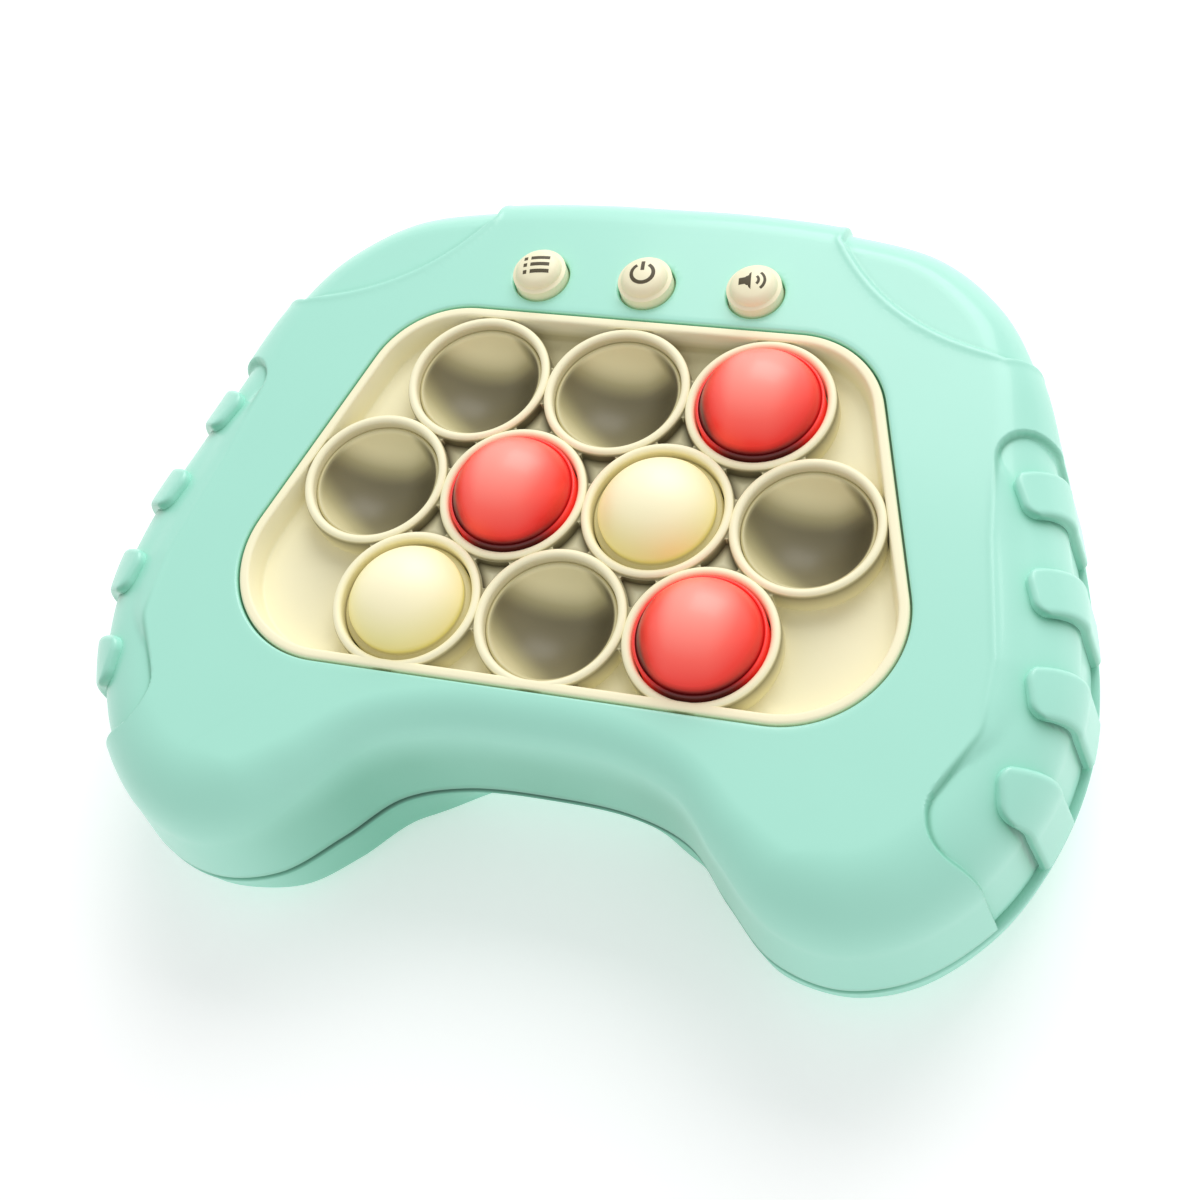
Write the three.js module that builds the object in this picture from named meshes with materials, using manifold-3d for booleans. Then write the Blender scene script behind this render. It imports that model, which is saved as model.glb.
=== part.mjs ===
// Handheld push-bubble game in a case shaped like a game controller.
// Millimetres. +Z is out of the face, +Y towards the three buttons. The origin is the point under
// the middle of the case, on the surface that its back lies on.

import * as THREE from 'three';
import { mergeVertices } from 'three/addons/utils/BufferGeometryUtils.js';
import Module from 'manifold-3d';

const wasm = await Module();
wasm.setup();

// Case sizes
const caseWidth = 163;
const caseLength = 126;
const faceHeight = 35.5;
const seamHeight = 12.2;
const wall = 2.4;
const wallDraft = 1.2;
const topEdgeRadius = 7.5;
const archEdgeRadius = 6;
const gripEdgeRadius = 12;
const backEdgeRadius = 9;
const archBackRadius = 3.5;
const backDraft = 0.6;
const archBackDraft = 5;
const seamChamfer = 0.5;
const tongueHeight = 2;
const tongueThickness = 1;

// The case's outline at the seam, from the arch between the handles round to the middle of the
// top edge, as shares of half the width and half the length. The left side mirrors it.
const caseOutlineShares = [
  [0, -0.646], [0.17, -0.659], [0.293, -0.713], [0.39, -0.84], [0.497, -0.962], [0.62, -1],
  [0.748, -0.951], [0.875, -0.8], [0.957, -0.594], [0.995, -0.36], [0.986, -0.14],
  [0.944, 0.09], [0.888, 0.333], [0.822, 0.56], [0.72, 0.772], [0.575, 0.915],
  [0.376, 0.975], [0.17, 0.998], [0, 1],
];
// Where the edge radius changes, as shares of half the length or half the width.
const topBlendShares = [0.15, 0.75];
const archBlendShares = [0.3, 0.62];
const archBackBlendShares = [0.08, 0.28];
const gripBackBlendShares = [0.38, 0.62];

// Recessed grip panels and their raised lugs
const panelDepth = 1.3;
const panelCornerRadius = 5;
// Inner corners of the right panel from the top down, as shares of half the width and half the
// length.
const panelShares = [
  [0.75, 0.355], [0.78, 0.03], [0.826, -0.28], [0.826, -0.46], [0.755, -0.645], [0.774, -0.745],
  [0.92, -0.8],
];
const lugProud = 0.3;
const lugWidth = 7.8;
const lugLengths = [9.4, 9.4, 9.2, 8];
const lugCornerRadius = 2.4;
const lugPitchShare = 0.265;
const firstLugShare = 0.235;
const firstLugAngle = 29;
const lugAngleStep = 5.3;

// Recessed shoulder facets at the top corners
const shoulderDepth = 0.6;
const shoulderRadiusGain = 1.5;
const shoulderSag = 4.2;
// Outer and inner end of the right facet's crease, as shares of half the width and half the
// length.
const shoulderShares = [[0.741, 0.546], [0.3755, 0.8635]];

// Window in the front shell, as shares of half the width or half the length
const windowTopHalfShare = 0.492;
const windowBottomHalfShare = 0.7485;
const windowTopShare = 0.5635;
const windowBottomShare = -0.522;
const windowTopRadius = 16.5;
const windowBottomRadius = 18.4;

// Bubble grid and mat. The pitch is the most that the window takes, as a share of its mean width
// and of its length.
const pitchWidthShare = 0.2374;
const pitchLengthShare = 0.3509;
const gridDrop = 0.7;
const rowCounts = [3, 4, 3];
const rowNames = ['top', 'middle', 'bottom'];
const boreInset = 1.4;
const collarSpread = 0.3;
const crestRound = 0.45;
const matFloorDepth = 4.6;
const matFloorThickness = 1.6;
const matRimWidth = 1.9;
const matRimRound = 0.5;
const matFlangeWidth = 3;
const matFlangeThickness = 1.2;

// Bubbles
const bubbleWall = 1.2;
const skirtDepth = 5;
const domeRiseShare = 0.708;
const creamDomeRiseShare = 0.528;
const creamDomeInset = 1;
const creamLedgeDrop = 1.6;
const nubRadius = 2;
const bubbleTravel = 8;
const cupRimDrop = 1.6;
const cupLip = 0.5;
const poppedBubbles = {
  bubble_top_3: 'red',
  bubble_middle_2: 'red',
  bubble_bottom_3: 'red',
  bubble_middle_3: 'cream',
  bubble_bottom_1: 'cream',
};

// Buttons
const buttonRadius = 4.55;
const buttonPitch = 18.6;
const buttonMargin = 6.7;
const buttonRise = 3.7;
const buttonCrown = 1.3;
const buttonCrownAngles = [0, 35, 65];
const buttonFlangeWidth = 1.6;
const buttonFlangeThickness = 1.2;
const buttonStemRadius = 2;
const buttonTravel = 0.8;
const buttonNames = ['menu', 'power', 'volume'];

// Clamp frame, board and what is on the board
const frameThickness = 1.8;
const frameBoreGain = 0.9;
const framePostShares = [[0.645, -0.1], [0.48, 0.42], [0.5, -0.43]];
const framePostRadius = 1.9;
const boardDepth = 14.5;
const boardThickness = 1.6;
const boardCornerRadius = 3;
// Right-hand corners of the board from the bottom up, as shares of half the case's width and
// half its length.
const boardShares = [
  [0.785, -0.508], [0.785, -0.222], [0.7, 0.429], [0.344, 0.476], [0.344, 0.786],
];
const boardPostShares = [[0.73, -0.35], [0.632, 0.32]];
const boardPostRadius = 2.5;
const boardPinRadius = 1.3;
const boardPinLength = 2.4;
const switchSide = 6;
const switchHeight = 3.5;
const plungerRadius = 1.7;
const plungerHeight = 1.2;
const lampRadius = 1.7;
const lampHeight = 3.2;
const lampOffset = 6.3;

// Battery bay, cells and door
const cellLength = 43.6;
const cellRadius = 5.15;
const cellNubRadius = 1.8;
const cellNubLength = 1;
const cellCount = 3;
const cellPitch = 11;
const bayCentreY = 2;
const bayWall = 1.5;
const contactThickness = 0.6;
const contactReach = 2.2;
const contactHeight = 7;
const springBaseRadius = 3;
const springTipRadius = 1.6;
const bumpTipRadius = 0.8;
const doorThickness = 1.8;
const doorInset = 0.3;
const doorLedge = 1.6;
const doorLedgeThickness = 1.2;
const doorBossWall = 1.2;
const doorBossMargin = 0.8;
const doorTabWidth = 7;
const doorTabReach = 2;
const doorTabThickness = 1.2;
const doorTabPlace = 11;
const doorSlotHeight = 2.6;

// Speaker
const speakerRadius = 13.5;
const speakerHeight = 4.8;
const speakerDish = 1;
const speakerMagnetRadius = 8.5;
const speakerMagnetHeight = 2;
const speakerShares = [-0.626, -0.333];
const speakerSeatWall = 1.1;
const speakerSeatHeight = 3;
const grilleHoleRadius = 1.3;
const grillePitch = 4.8;
const grilleRings = 1;

// Screws
const caseScrewShares = [[0.437, 0.79], [0.84, -0.03], [0.69, -0.755]];
const bossRadius = 3.6;
const columnRadius = 4.4;
const ribThickness = 1.2;
const ribReach = 6;
const screwHeadRadius = 2.8;
const screwHeadHeight = 1.8;
const screwRadius = 1.3;
const screwBite = 9;
const counterboreDepth = 6.5;
const doorScrewBite = 5;
const driveWidth = 0.8;
const driveDepth = 0.9;

// Clearances
const seatGap = 0.3;
const seamGap = 0.4;
const matGap = 0.35;
const boreGap = 0.3;
const doorGap = 0.4;
const overrun = 1;

// Facets
const samplesPerSpan = 2;
const frontArcSteps = 4;
const innerArcSteps = 2;
const backArcSteps = 3;
const boreFacets = 18;
const bubbleFacets = 18;
const buttonFacets = 16;
const smallFacets = 12;
const tinyFacets = 8;
const cornerSteps = 3;
const domeSteps = 4;
const underSteps = 2;
const windowSteps = 6;
const surfaceTolerance = 0.02;
const vertexMergeShare = 1e-6;

// Finishes
const finishes = {
  mint: { color: 0xafebd7, roughness: 0.45, metalness: 0 },
  silicone: { color: 0xf4ecc8, roughness: 0.6, metalness: 0 },
  red: { color: 0xf04841, roughness: 0.3, metalness: 0 },
  cream: { color: 0xf3edc9, roughness: 0.35, metalness: 0 },
  olive: { color: 0x9a9270, roughness: 0.35, metalness: 0 },
  button: { color: 0xf5ebcd, roughness: 0.4, metalness: 0 },
  frame: { color: 0xe9e9e4, roughness: 0.6, metalness: 0 },
  board: { color: 0x2f7d4a, roughness: 0.5, metalness: 0 },
  dark: { color: 0x2b2b2d, roughness: 0.6, metalness: 0 },
  lens: { color: 0xf2f2ee, roughness: 0.2, metalness: 0 },
  steel: { color: 0xb9bcc0, roughness: 0.3, metalness: 1 },
  cell: { color: 0x5d6a78, roughness: 0.35, metalness: 0.2 },
};

const { clamp, degToRad, radToDeg, lerp, smoothstep } = THREE.MathUtils;
const group = new THREE.Group();

// Places that follow from the case's size
const halfWidth = caseWidth / 2;
const halfLength = caseLength / 2;
const windowTopY = windowTopShare * halfLength;
const windowBottomY = windowBottomShare * halfLength;
const windowMeanWidth = (windowTopHalfShare + windowBottomHalfShare) * halfWidth;
const bubblePitch = Math.min(
  pitchWidthShare * windowMeanWidth, pitchLengthShare * (windowTopY - windowBottomY),
);
const boreRadius = bubblePitch / 2 - boreInset;
const collarRadius = bubblePitch / 2 + collarSpread;
const gridCentreY = (windowTopY + windowBottomY) / 2 - gridDrop;
const buttonRowY = windowTopY + buttonMargin;
const [speakerX, speakerY] = [speakerShares[0] * halfWidth, speakerShares[1] * halfLength];

// Levels that several pieces share
const faceUnderside = faceHeight - wall;
const flangeTop = faceUnderside - seatGap;
const matFloorTop = faceHeight - matFloorDepth;
const matUnderside = matFloorTop - matFloorThickness;
const frameTop = matUnderside - seatGap;
const frameUnderside = frameTop - frameThickness;
const boardTop = faceHeight - boardDepth;
const boardUnderside = boardTop - boardThickness;
const switchBase = boardTop + seatGap;
const plungerTop = switchBase + switchHeight + plungerHeight;
const tongueInset = wall + 2 * seatGap;
const doorTop = doorInset + doorThickness;
const ledgeUnderside = doorTop + seatGap;
const ledgeTop = ledgeUnderside + doorLedgeThickness;
const cellAxisHeight = wall + seatGap + cellRadius;
const bayRoofUnderside = cellAxisHeight + cellRadius + seatGap;
const bayRoofTop = bayRoofUnderside + bayWall;
const bayHalfLength = (cellLength + cellNubLength) / 2 + contactReach + contactThickness + seatGap;
const bayHalfWidth = ((cellCount - 1) * cellPitch) / 2 + cellRadius + seatGap;
const doorLeft = -bayHalfLength - doorLedge;
const doorHalfWidth = bayHalfWidth + doorLedge;
const doorBossRadius = screwHeadRadius + seatGap + doorBossWall;
const doorScrewX = bayHalfLength + bayWall + doorBossRadius + doorGap;
const doorRight = doorScrewX + doorBossRadius + doorBossMargin;
const doorScrewSeat = doorInset + screwHeadHeight + seatGap;
const doorBossTop = doorScrewSeat + doorBossWall;
const doorColumnFloor = doorBossTop + seatGap;

// A closed mesh as a solid, with its faces turned outwards.
function solidOf(geometry) {
  const bare = geometry.clone();
  bare.deleteAttribute('normal');
  bare.deleteAttribute('uv');
  bare.computeBoundingSphere();
  const merged = mergeVertices(bare, bare.boundingSphere.radius * vertexMergeShare);
  const position = merged.getAttribute('position');
  const [a, b, c] = [new THREE.Vector3(), new THREE.Vector3(), new THREE.Vector3()];
  const triangles = [];
  let volume = 0;
  for (let i = 0; i < merged.index.count; i += 3) {
    const corners = [0, 1, 2].map((k) => merged.index.getX(i + k));
    if (new Set(corners).size < 3) continue;
    triangles.push(corners);
    [a, b, c].forEach((point, k) => point.fromBufferAttribute(position, corners[k]));
    volume += a.dot(b.cross(c));
  }
  if (volume < 0) triangles.forEach((corners) => corners.reverse());
  const mesh = new wasm.Mesh({
    numProp: 3,
    vertProperties: new Float32Array(position.array),
    triVerts: new Uint32Array(triangles.flat()),
  });
  return new wasm.Manifold(mesh);
}

// A solid as a three.js geometry.
function geometryOf(solid) {
  const mesh = solid.getMesh();
  const geometry = new THREE.BufferGeometry();
  geometry.setAttribute('position', new THREE.BufferAttribute(mesh.vertProperties, 3));
  geometry.setIndex(new THREE.BufferAttribute(mesh.triVerts, 1));
  geometry.computeVertexNormals();
  return geometry;
}

// Adds a piece to the model under its name.
function addPiece(name, solid, finish) {
  const material = new THREE.MeshStandardMaterial({ ...finishes[finish], flatShading: true });
  const mesh = new THREE.Mesh(geometryOf(solid.simplify(surfaceTolerance)), material);
  mesh.name = name;
  group.add(mesh);
}

function joinAll(solids) {
  return solids.reduce((sum, solid) => sum.add(solid));
}

// A loop of plan points raised from one height to another.
function prism(loop, low, high) {
  const geometry = new THREE.ExtrudeGeometry(new THREE.Shape(loop), {
    depth: high - low,
    bevelEnabled: false,
  });
  return solidOf(geometry.translate(0, 0, low));
}

function drum(x, y, radius, low, high, facets = smallFacets, topRadius = radius) {
  const geometry = new THREE.CylinderGeometry(topRadius, radius, high - low, facets);
  return solidOf(geometry.rotateX(Math.PI / 2).translate(x, y, (low + high) / 2));
}

function block(xLow, xHigh, yLow, yHigh, low, high) {
  const geometry = new THREE.BoxGeometry(xHigh - xLow, yHigh - yLow, high - low);
  return solidOf(
    geometry.translate((xLow + xHigh) / 2, (yLow + yHigh) / 2, (low + high) / 2),
  );
}

// A body turned about a vertical axis from a profile of radius and height pairs.
function turned(profile, x, y, facets = bubbleFacets) {
  const points = profile.map(([radius, height]) => new THREE.Vector2(radius, height));
  const geometry = new THREE.LatheGeometry(points, facets);
  return solidOf(geometry.rotateX(Math.PI / 2).translate(x, y, 0));
}

// Points along a quarter turn or less of a profile, from one angle to another in degrees.
function arcProfile(centreRadius, centreHeight, radius, from, to, steps) {
  return Array.from({ length: steps + 1 }, (_, i) => {
    const angle = degToRad(lerp(from, to, i / steps));
    const reach = Math.max(0, centreRadius + radius * Math.cos(angle));
    return [reach, centreHeight + radius * Math.sin(angle)];
  });
}

// Rings of equal counts joined into one closed body, capped at both ends.
function loft(rings) {
  const count = rings[0].length;
  const faces = [];
  for (let ring = 0; ring + 1 < rings.length; ring++) {
    for (let i = 0; i < count; i++) {
      const [low, lowNext] = [ring * count + i, ring * count + ((i + 1) % count)];
      const [high, highNext] = [low + count, lowNext + count];
      faces.push([low, lowNext, highNext], [low, highNext, high]);
    }
  }
  [rings[0], rings[rings.length - 1]].forEach((ring, end) => {
    const contour = ring.map((point) => new THREE.Vector2(point.x, point.y));
    const first = end * (rings.length - 1) * count;
    THREE.ShapeUtils.triangulateShape(contour, []).forEach((face) => {
      const area = THREE.ShapeUtils.area(face.map((i) => contour[i]));
      const upward = area > 0 ? face : [...face].reverse();
      faces.push((end ? upward : [...upward].reverse()).map((i) => i + first));
    });
  });
  const geometry = new THREE.BufferGeometry();
  const coordinates = rings.flat().flatMap((point) => [point.x, point.y, point.z]);
  geometry.setAttribute('position', new THREE.Float32BufferAttribute(coordinates, 3));
  geometry.setIndex(faces.flat());
  return solidOf(geometry);
}

// The outward direction at each point of a counterclockwise loop.
function outwardsOf(loop) {
  return loop.map((_, i) => {
    const before = loop[(i + loop.length - 1) % loop.length];
    const after = loop[(i + 1) % loop.length];
    return new THREE.Vector2(after.y - before.y, before.x - after.x).normalize();
  });
}

function outset(loop, distance) {
  const outwards = outwardsOf(loop);
  return loop.map((point, i) => point.clone().addScaledVector(outwards[i], distance));
}

// A counterclockwise polygon whose corners, given as [x, y, radius], are rounded.
function roundedLoop(corners, steps = cornerSteps) {
  return corners.flatMap(([x, y, radius], i) => {
    const corner = new THREE.Vector2(x, y);
    const before = new THREE.Vector2(...corners[(i + corners.length - 1) % corners.length]);
    const after = new THREE.Vector2(...corners[(i + 1) % corners.length]);
    if (!radius) return [corner];
    const toBefore = before.sub(corner).normalize();
    const toAfter = after.sub(corner).normalize();
    const half = Math.acos(clamp(toBefore.dot(toAfter), -1, 1)) / 2;
    const middle = toBefore.clone().add(toAfter).normalize();
    const centre = corner.clone().addScaledVector(middle, radius / Math.sin(half));
    const start = corner.clone().addScaledVector(toBefore, radius / Math.tan(half)).sub(centre);
    const turn = (Math.PI - 2 * half) * Math.sign(toAfter.cross(toBefore));
    return Array.from({ length: steps + 1 }, (_, k) =>
      start.clone().rotateAround(new THREE.Vector2(), (turn * k) / steps).add(centre),
    );
  });
}

// Mirrors a loop to the left side and keeps it counterclockwise.
function mirrored(loop) {
  return loop.map((point) => new THREE.Vector2(-point.x, point.y)).reverse();
}

function rectangleLoop(xLow, xHigh, yLow, yHigh, radius = 0) {
  const corners = [[xLow, yLow], [xHigh, yLow], [xHigh, yHigh], [xLow, yHigh]];
  return roundedLoop(corners.map(([x, y]) => [x, y, radius]));
}

// The case's outline at the seam, fitted to its width and length.
function caseOutline() {
  const right = caseOutlineShares.map(([x, y]) => new THREE.Vector3(x, y, 0));
  const left = right.slice(1, -1).reverse().map((point) => new THREE.Vector3(-point.x, point.y, 0));
  const curve = new THREE.CatmullRomCurve3([...right, ...left], true, 'centripetal');
  const spans = curve.points.length * samplesPerSpan;
  const points = Array.from({ length: spans }, (_, i) => curve.getPoint(i / spans));
  const box = new THREE.Box3().setFromPoints(points);
  const size = box.getSize(new THREE.Vector3());
  const middle = box.getCenter(new THREE.Vector3());
  return points.map(({ x, y }) => new THREE.Vector2(
    (x - middle.x) * (caseWidth / size.x),
    (y - middle.y) * (caseLength / size.y),
  ));
}

const outline = caseOutline();
const outlineOutwards = outwardsOf(outline);

// The radius that rounds the case's wall into its face at a point of the outline.
function edgeRadiusAt({ x, y }) {
  const towardsTop = smoothstep(y, topBlendShares[0] * halfLength, topBlendShares[1] * halfLength);
  const awayFromArch = smoothstep(
    Math.abs(x), archBlendShares[0] * halfWidth, archBlendShares[1] * halfWidth,
  );
  const lower = y < 0 ? lerp(archEdgeRadius, gripEdgeRadius, awayFromArch) : gripEdgeRadius;
  return lerp(lower, topEdgeRadius, towardsTop);
}

// The radius that rounds the back shell's wall into its flat back, small inside the arch.
function backRadiusAt({ x, y }) {
  const awayFromArch = smoothstep(
    Math.abs(x), gripBackBlendShares[0] * halfWidth, gripBackBlendShares[1] * halfWidth,
  );
  return y < 0 ? lerp(archBackRadius, backEdgeRadius, awayFromArch) : backEdgeRadius;
}

// How far the back shell's wall leans in at a point of the outline, most under the arch.
function backDraftAt({ x, y }) {
  const awayFromArch = smoothstep(
    Math.abs(x), archBackBlendShares[0] * halfWidth, archBackBlendShares[1] * halfWidth,
  );
  return y < 0 ? lerp(archBackDraft, backDraft, awayFromArch) : backDraft;
}

// One ring of the case's surface: at each point of the outline, place gives the inset and height.
function caseRing(place) {
  return outline.map((point, i) => {
    const [inset, height] = place(point);
    const moved = point.clone().addScaledVector(outlineOutwards[i], -inset);
    return new THREE.Vector3(moved.x, moved.y, height);
  });
}

// The body inside the front shell's outer surface, grown by an offset, from a bottom height up.
function frontBody(offset, bottom, { radiusGain = 0, chamfer = 0, steps = frontArcSteps } = {}) {
  const rings = [];
  if (chamfer) rings.push(caseRing(() => [chamfer - offset, bottom]));
  rings.push(caseRing(() => [-offset, bottom + chamfer]));
  for (let step = 0; step <= steps; step++) {
    const angle = (step / steps) * (Math.PI / 2);
    rings.push(caseRing((point) => {
      const radius = edgeRadiusAt(point) + radiusGain;
      return [
        wallDraft + radius - (radius + offset) * Math.cos(angle),
        faceHeight - radius + (radius + offset) * Math.sin(angle),
      ];
    }));
  }
  return loft(rings);
}

// The body inside the back shell's outer surface, grown by an offset, up to a top height.
function backBody(offset, top, { chamfer = 0, steps = backArcSteps } = {}) {
  const rings = [];
  for (let step = 0; step <= steps; step++) {
    const angle = (step / steps - 1) * (Math.PI / 2);
    rings.push(caseRing((point) => {
      const radius = backRadiusAt(point);
      return [
        backDraftAt(point) + radius - (radius + offset) * Math.cos(angle),
        radius + (radius + offset) * Math.sin(angle),
      ];
    }));
  }
  rings.push(caseRing(() => [-offset, top - chamfer]));
  if (chamfer) rings.push(caseRing(() => [chamfer - offset, top]));
  return loft(rings);
}

// A band that follows the outline between two insets.
function outlineBand(outerInset, innerInset, low, high) {
  return prism(outset(outline, -outerInset), low, high)
    .subtract(prism(outset(outline, -innerInset), low - overrun, high + overrun));
}

// Plan of the window, counterclockwise, grown by a distance.
function windowLoop(distance) {
  const topHalf = windowTopHalfShare * halfWidth;
  const bottomHalf = windowBottomHalfShare * halfWidth;
  const loop = roundedLoop([
    [-bottomHalf, windowBottomY, windowBottomRadius],
    [bottomHalf, windowBottomY, windowBottomRadius],
    [topHalf, windowTopY, windowTopRadius],
    [-topHalf, windowTopY, windowTopRadius],
  ], windowSteps);
  return outset(loop, distance);
}

// Places of the bubbles by name.
function bubblePlaces() {
  const rowRise = bubblePitch * Math.sin(Math.PI / 3);
  const places = {};
  rowCounts.forEach((count, row) => {
    for (let i = 0; i < count; i++) {
      const x = (i - (count - 1) / 2) * bubblePitch;
      places[`${rowNames[row]}_${i + 1}`] = [x, gridCentreY + (1 - row) * rowRise];
    }
  });
  return places;
}

const places = bubblePlaces();
const buttonPlaces = buttonNames.map((name, i) => [name, (i - 1) * buttonPitch, buttonRowY]);

// Places on both sides of the case from shares of half its width and half its length.
function pairedPlaces(shares) {
  return shares.flatMap(([x, y]) => [-1, 1].map(
    (side) => [side * x * halfWidth, y * halfLength],
  ));
}

// Case screws: two in the shoulders, two in the grips and two in the handles
const caseScrewPlaces = pairedPlaces(caseScrewShares);
// Posts that carry the board: beside the window at its widest and near its top corners
const boardPostPlaces = pairedPlaces(boardPostShares);
// Posts that stand the clamp frame on the board
const framePostPlaces = pairedPlaces(framePostShares);

// The recess in the right grip, cut outside a lowered copy of the case's surface.
function gripRecess() {
  const reach = caseWidth;
  const corners = panelShares.map(([x, y]) => [x * halfWidth, y * halfLength, panelCornerRadius]);
  const last = corners[corners.length - 1];
  last[2] = 0;
  return roundedLoop([
    ...corners, [reach, last[1] - (reach - last[0])], [reach, corners[0][1]],
  ]);
}

// Plan of one lug of the right grip.
function lugLoop(number) {
  const y = (firstLugShare - number * lugPitchShare) * halfLength;
  const length = lugLengths[number];
  const edge = outline.filter((point) => point.x > 0).reduce(
    (best, point) => (Math.abs(point.y - y) < Math.abs(best.y - y) ? point : best),
  );
  const angle = degToRad(firstLugAngle - number * lugAngleStep);
  const loop = roundedLoop([
    [-length, -lugWidth / 2, lugCornerRadius],
    [length, -lugWidth / 2, 0],
    [length, lugWidth / 2, 0],
    [-length, lugWidth / 2, lugCornerRadius],
  ]);
  const centre = new THREE.Vector2(edge.x, y);
  return loop.map((point) => point.rotateAround(new THREE.Vector2(), angle).add(centre));
}

// Plan of the right shoulder facet: an arc across the corner and straight sides beyond the case.
function shoulderLoop() {
  const [start, end] = shoulderShares.map(
    ([x, y]) => new THREE.Vector2(x * halfWidth, y * halfLength),
  );
  const chord = end.clone().sub(start);
  const inwards = new THREE.Vector2(-chord.y, chord.x).normalize();
  const arc = Array.from({ length: windowSteps + 1 }, (_, i) => {
    const along = i / windowSteps;
    const sag = 4 * along * (1 - along) * shoulderSag;
    return start.clone().addScaledVector(chord, along).addScaledVector(inwards, sag);
  });
  return [
    ...arc,
    new THREE.Vector2(end.x, caseLength),
    new THREE.Vector2(caseWidth, caseLength),
    new THREE.Vector2(caseWidth, start.y + wall),
    new THREE.Vector2(start.x + topEdgeRadius, start.y + wall),
  ];
}

function onBothSides(loop, low, high) {
  return prism(loop, low, high).add(prism(mirrored(loop), low, high));
}

// Posts, bosses and ribs under the front shell's face.
function frontBosses() {
  const bosses = caseScrewPlaces.flatMap(([x, y]) => [
    drum(x, y, bossRadius, seamHeight + seatGap, faceHeight, tinyFacets),
    block(
      x - ribReach, x + ribReach, y - ribThickness / 2, y + ribThickness / 2,
      seamHeight + tongueHeight + wall, faceHeight,
    ),
  ]);
  const posts = boardPostPlaces.flatMap(([x, y]) => [
    drum(x, y, boardPostRadius, boardTop + seatGap, faceHeight, tinyFacets),
    drum(x, y, boardPinRadius, boardTop - boardPinLength, faceHeight, tinyFacets),
  ]);
  return joinAll([...bosses, ...posts]);
}

function frontShell() {
  const bottom = seamHeight + seamGap / 2;
  const inner = frontBody(-wall, seamHeight - overrun, { steps: innerArcSteps });
  let shell = frontBody(0, bottom, { chamfer: seamChamfer }).subtract(inner);

  const top = faceHeight + overrun;
  const below = seamHeight - overrun;
  const panel = onBothSides(gripRecess(), below, top);
  shell = shell.subtract(panel.subtract(frontBody(-panelDepth, below - overrun)));

  const lugSkin = frontBody(lugProud, bottom, { chamfer: seamChamfer }).subtract(inner);
  lugLengths.forEach((_, number) => {
    shell = shell.add(onBothSides(lugLoop(number), below, top).intersect(lugSkin));
  });

  const shoulder = onBothSides(shoulderLoop(), below, top);
  const lowered = frontBody(-shoulderDepth, below - overrun, { radiusGain: shoulderRadiusGain });
  shell = shell.subtract(shoulder.subtract(lowered));

  shell = shell.add(frontBosses().intersect(frontBody(-wall / 2, below, { steps: innerArcSteps })));
  const cuts = [
    prism(windowLoop(0), faceUnderside - overrun, top),
    ...buttonPlaces.map(([, x, y]) => drum(
      x, y, buttonRadius + boreGap, faceUnderside - overrun, top, buttonFacets,
    )),
    ...caseScrewPlaces.map(([x, y]) => drum(
      x, y, screwRadius + seatGap, below, seamHeight + screwBite + seatGap, tinyFacets,
    )),
  ];
  return cuts.reduce((body, cut) => body.subtract(cut), shell);
}

// Holes of the speaker grille: one in the middle and six more in each ring about it.
function grilleHoles() {
  const holes = [];
  for (let ring = 0; ring <= grilleRings; ring++) {
    const count = Math.max(1, ring * 6);
    for (let i = 0; i < count; i++) {
      const angle = (i / count) * 2 * Math.PI;
      const x = speakerX + ring * grillePitch * Math.cos(angle);
      const y = speakerY + ring * grillePitch * Math.sin(angle);
      holes.push(drum(x, y, grilleHoleRadius, -overrun, wall + overrun, tinyFacets));
    }
  }
  return holes;
}

function doorTabPlaces() {
  return [-1, 1].map((side) => bayCentreY + side * doorTabPlace);
}

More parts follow.
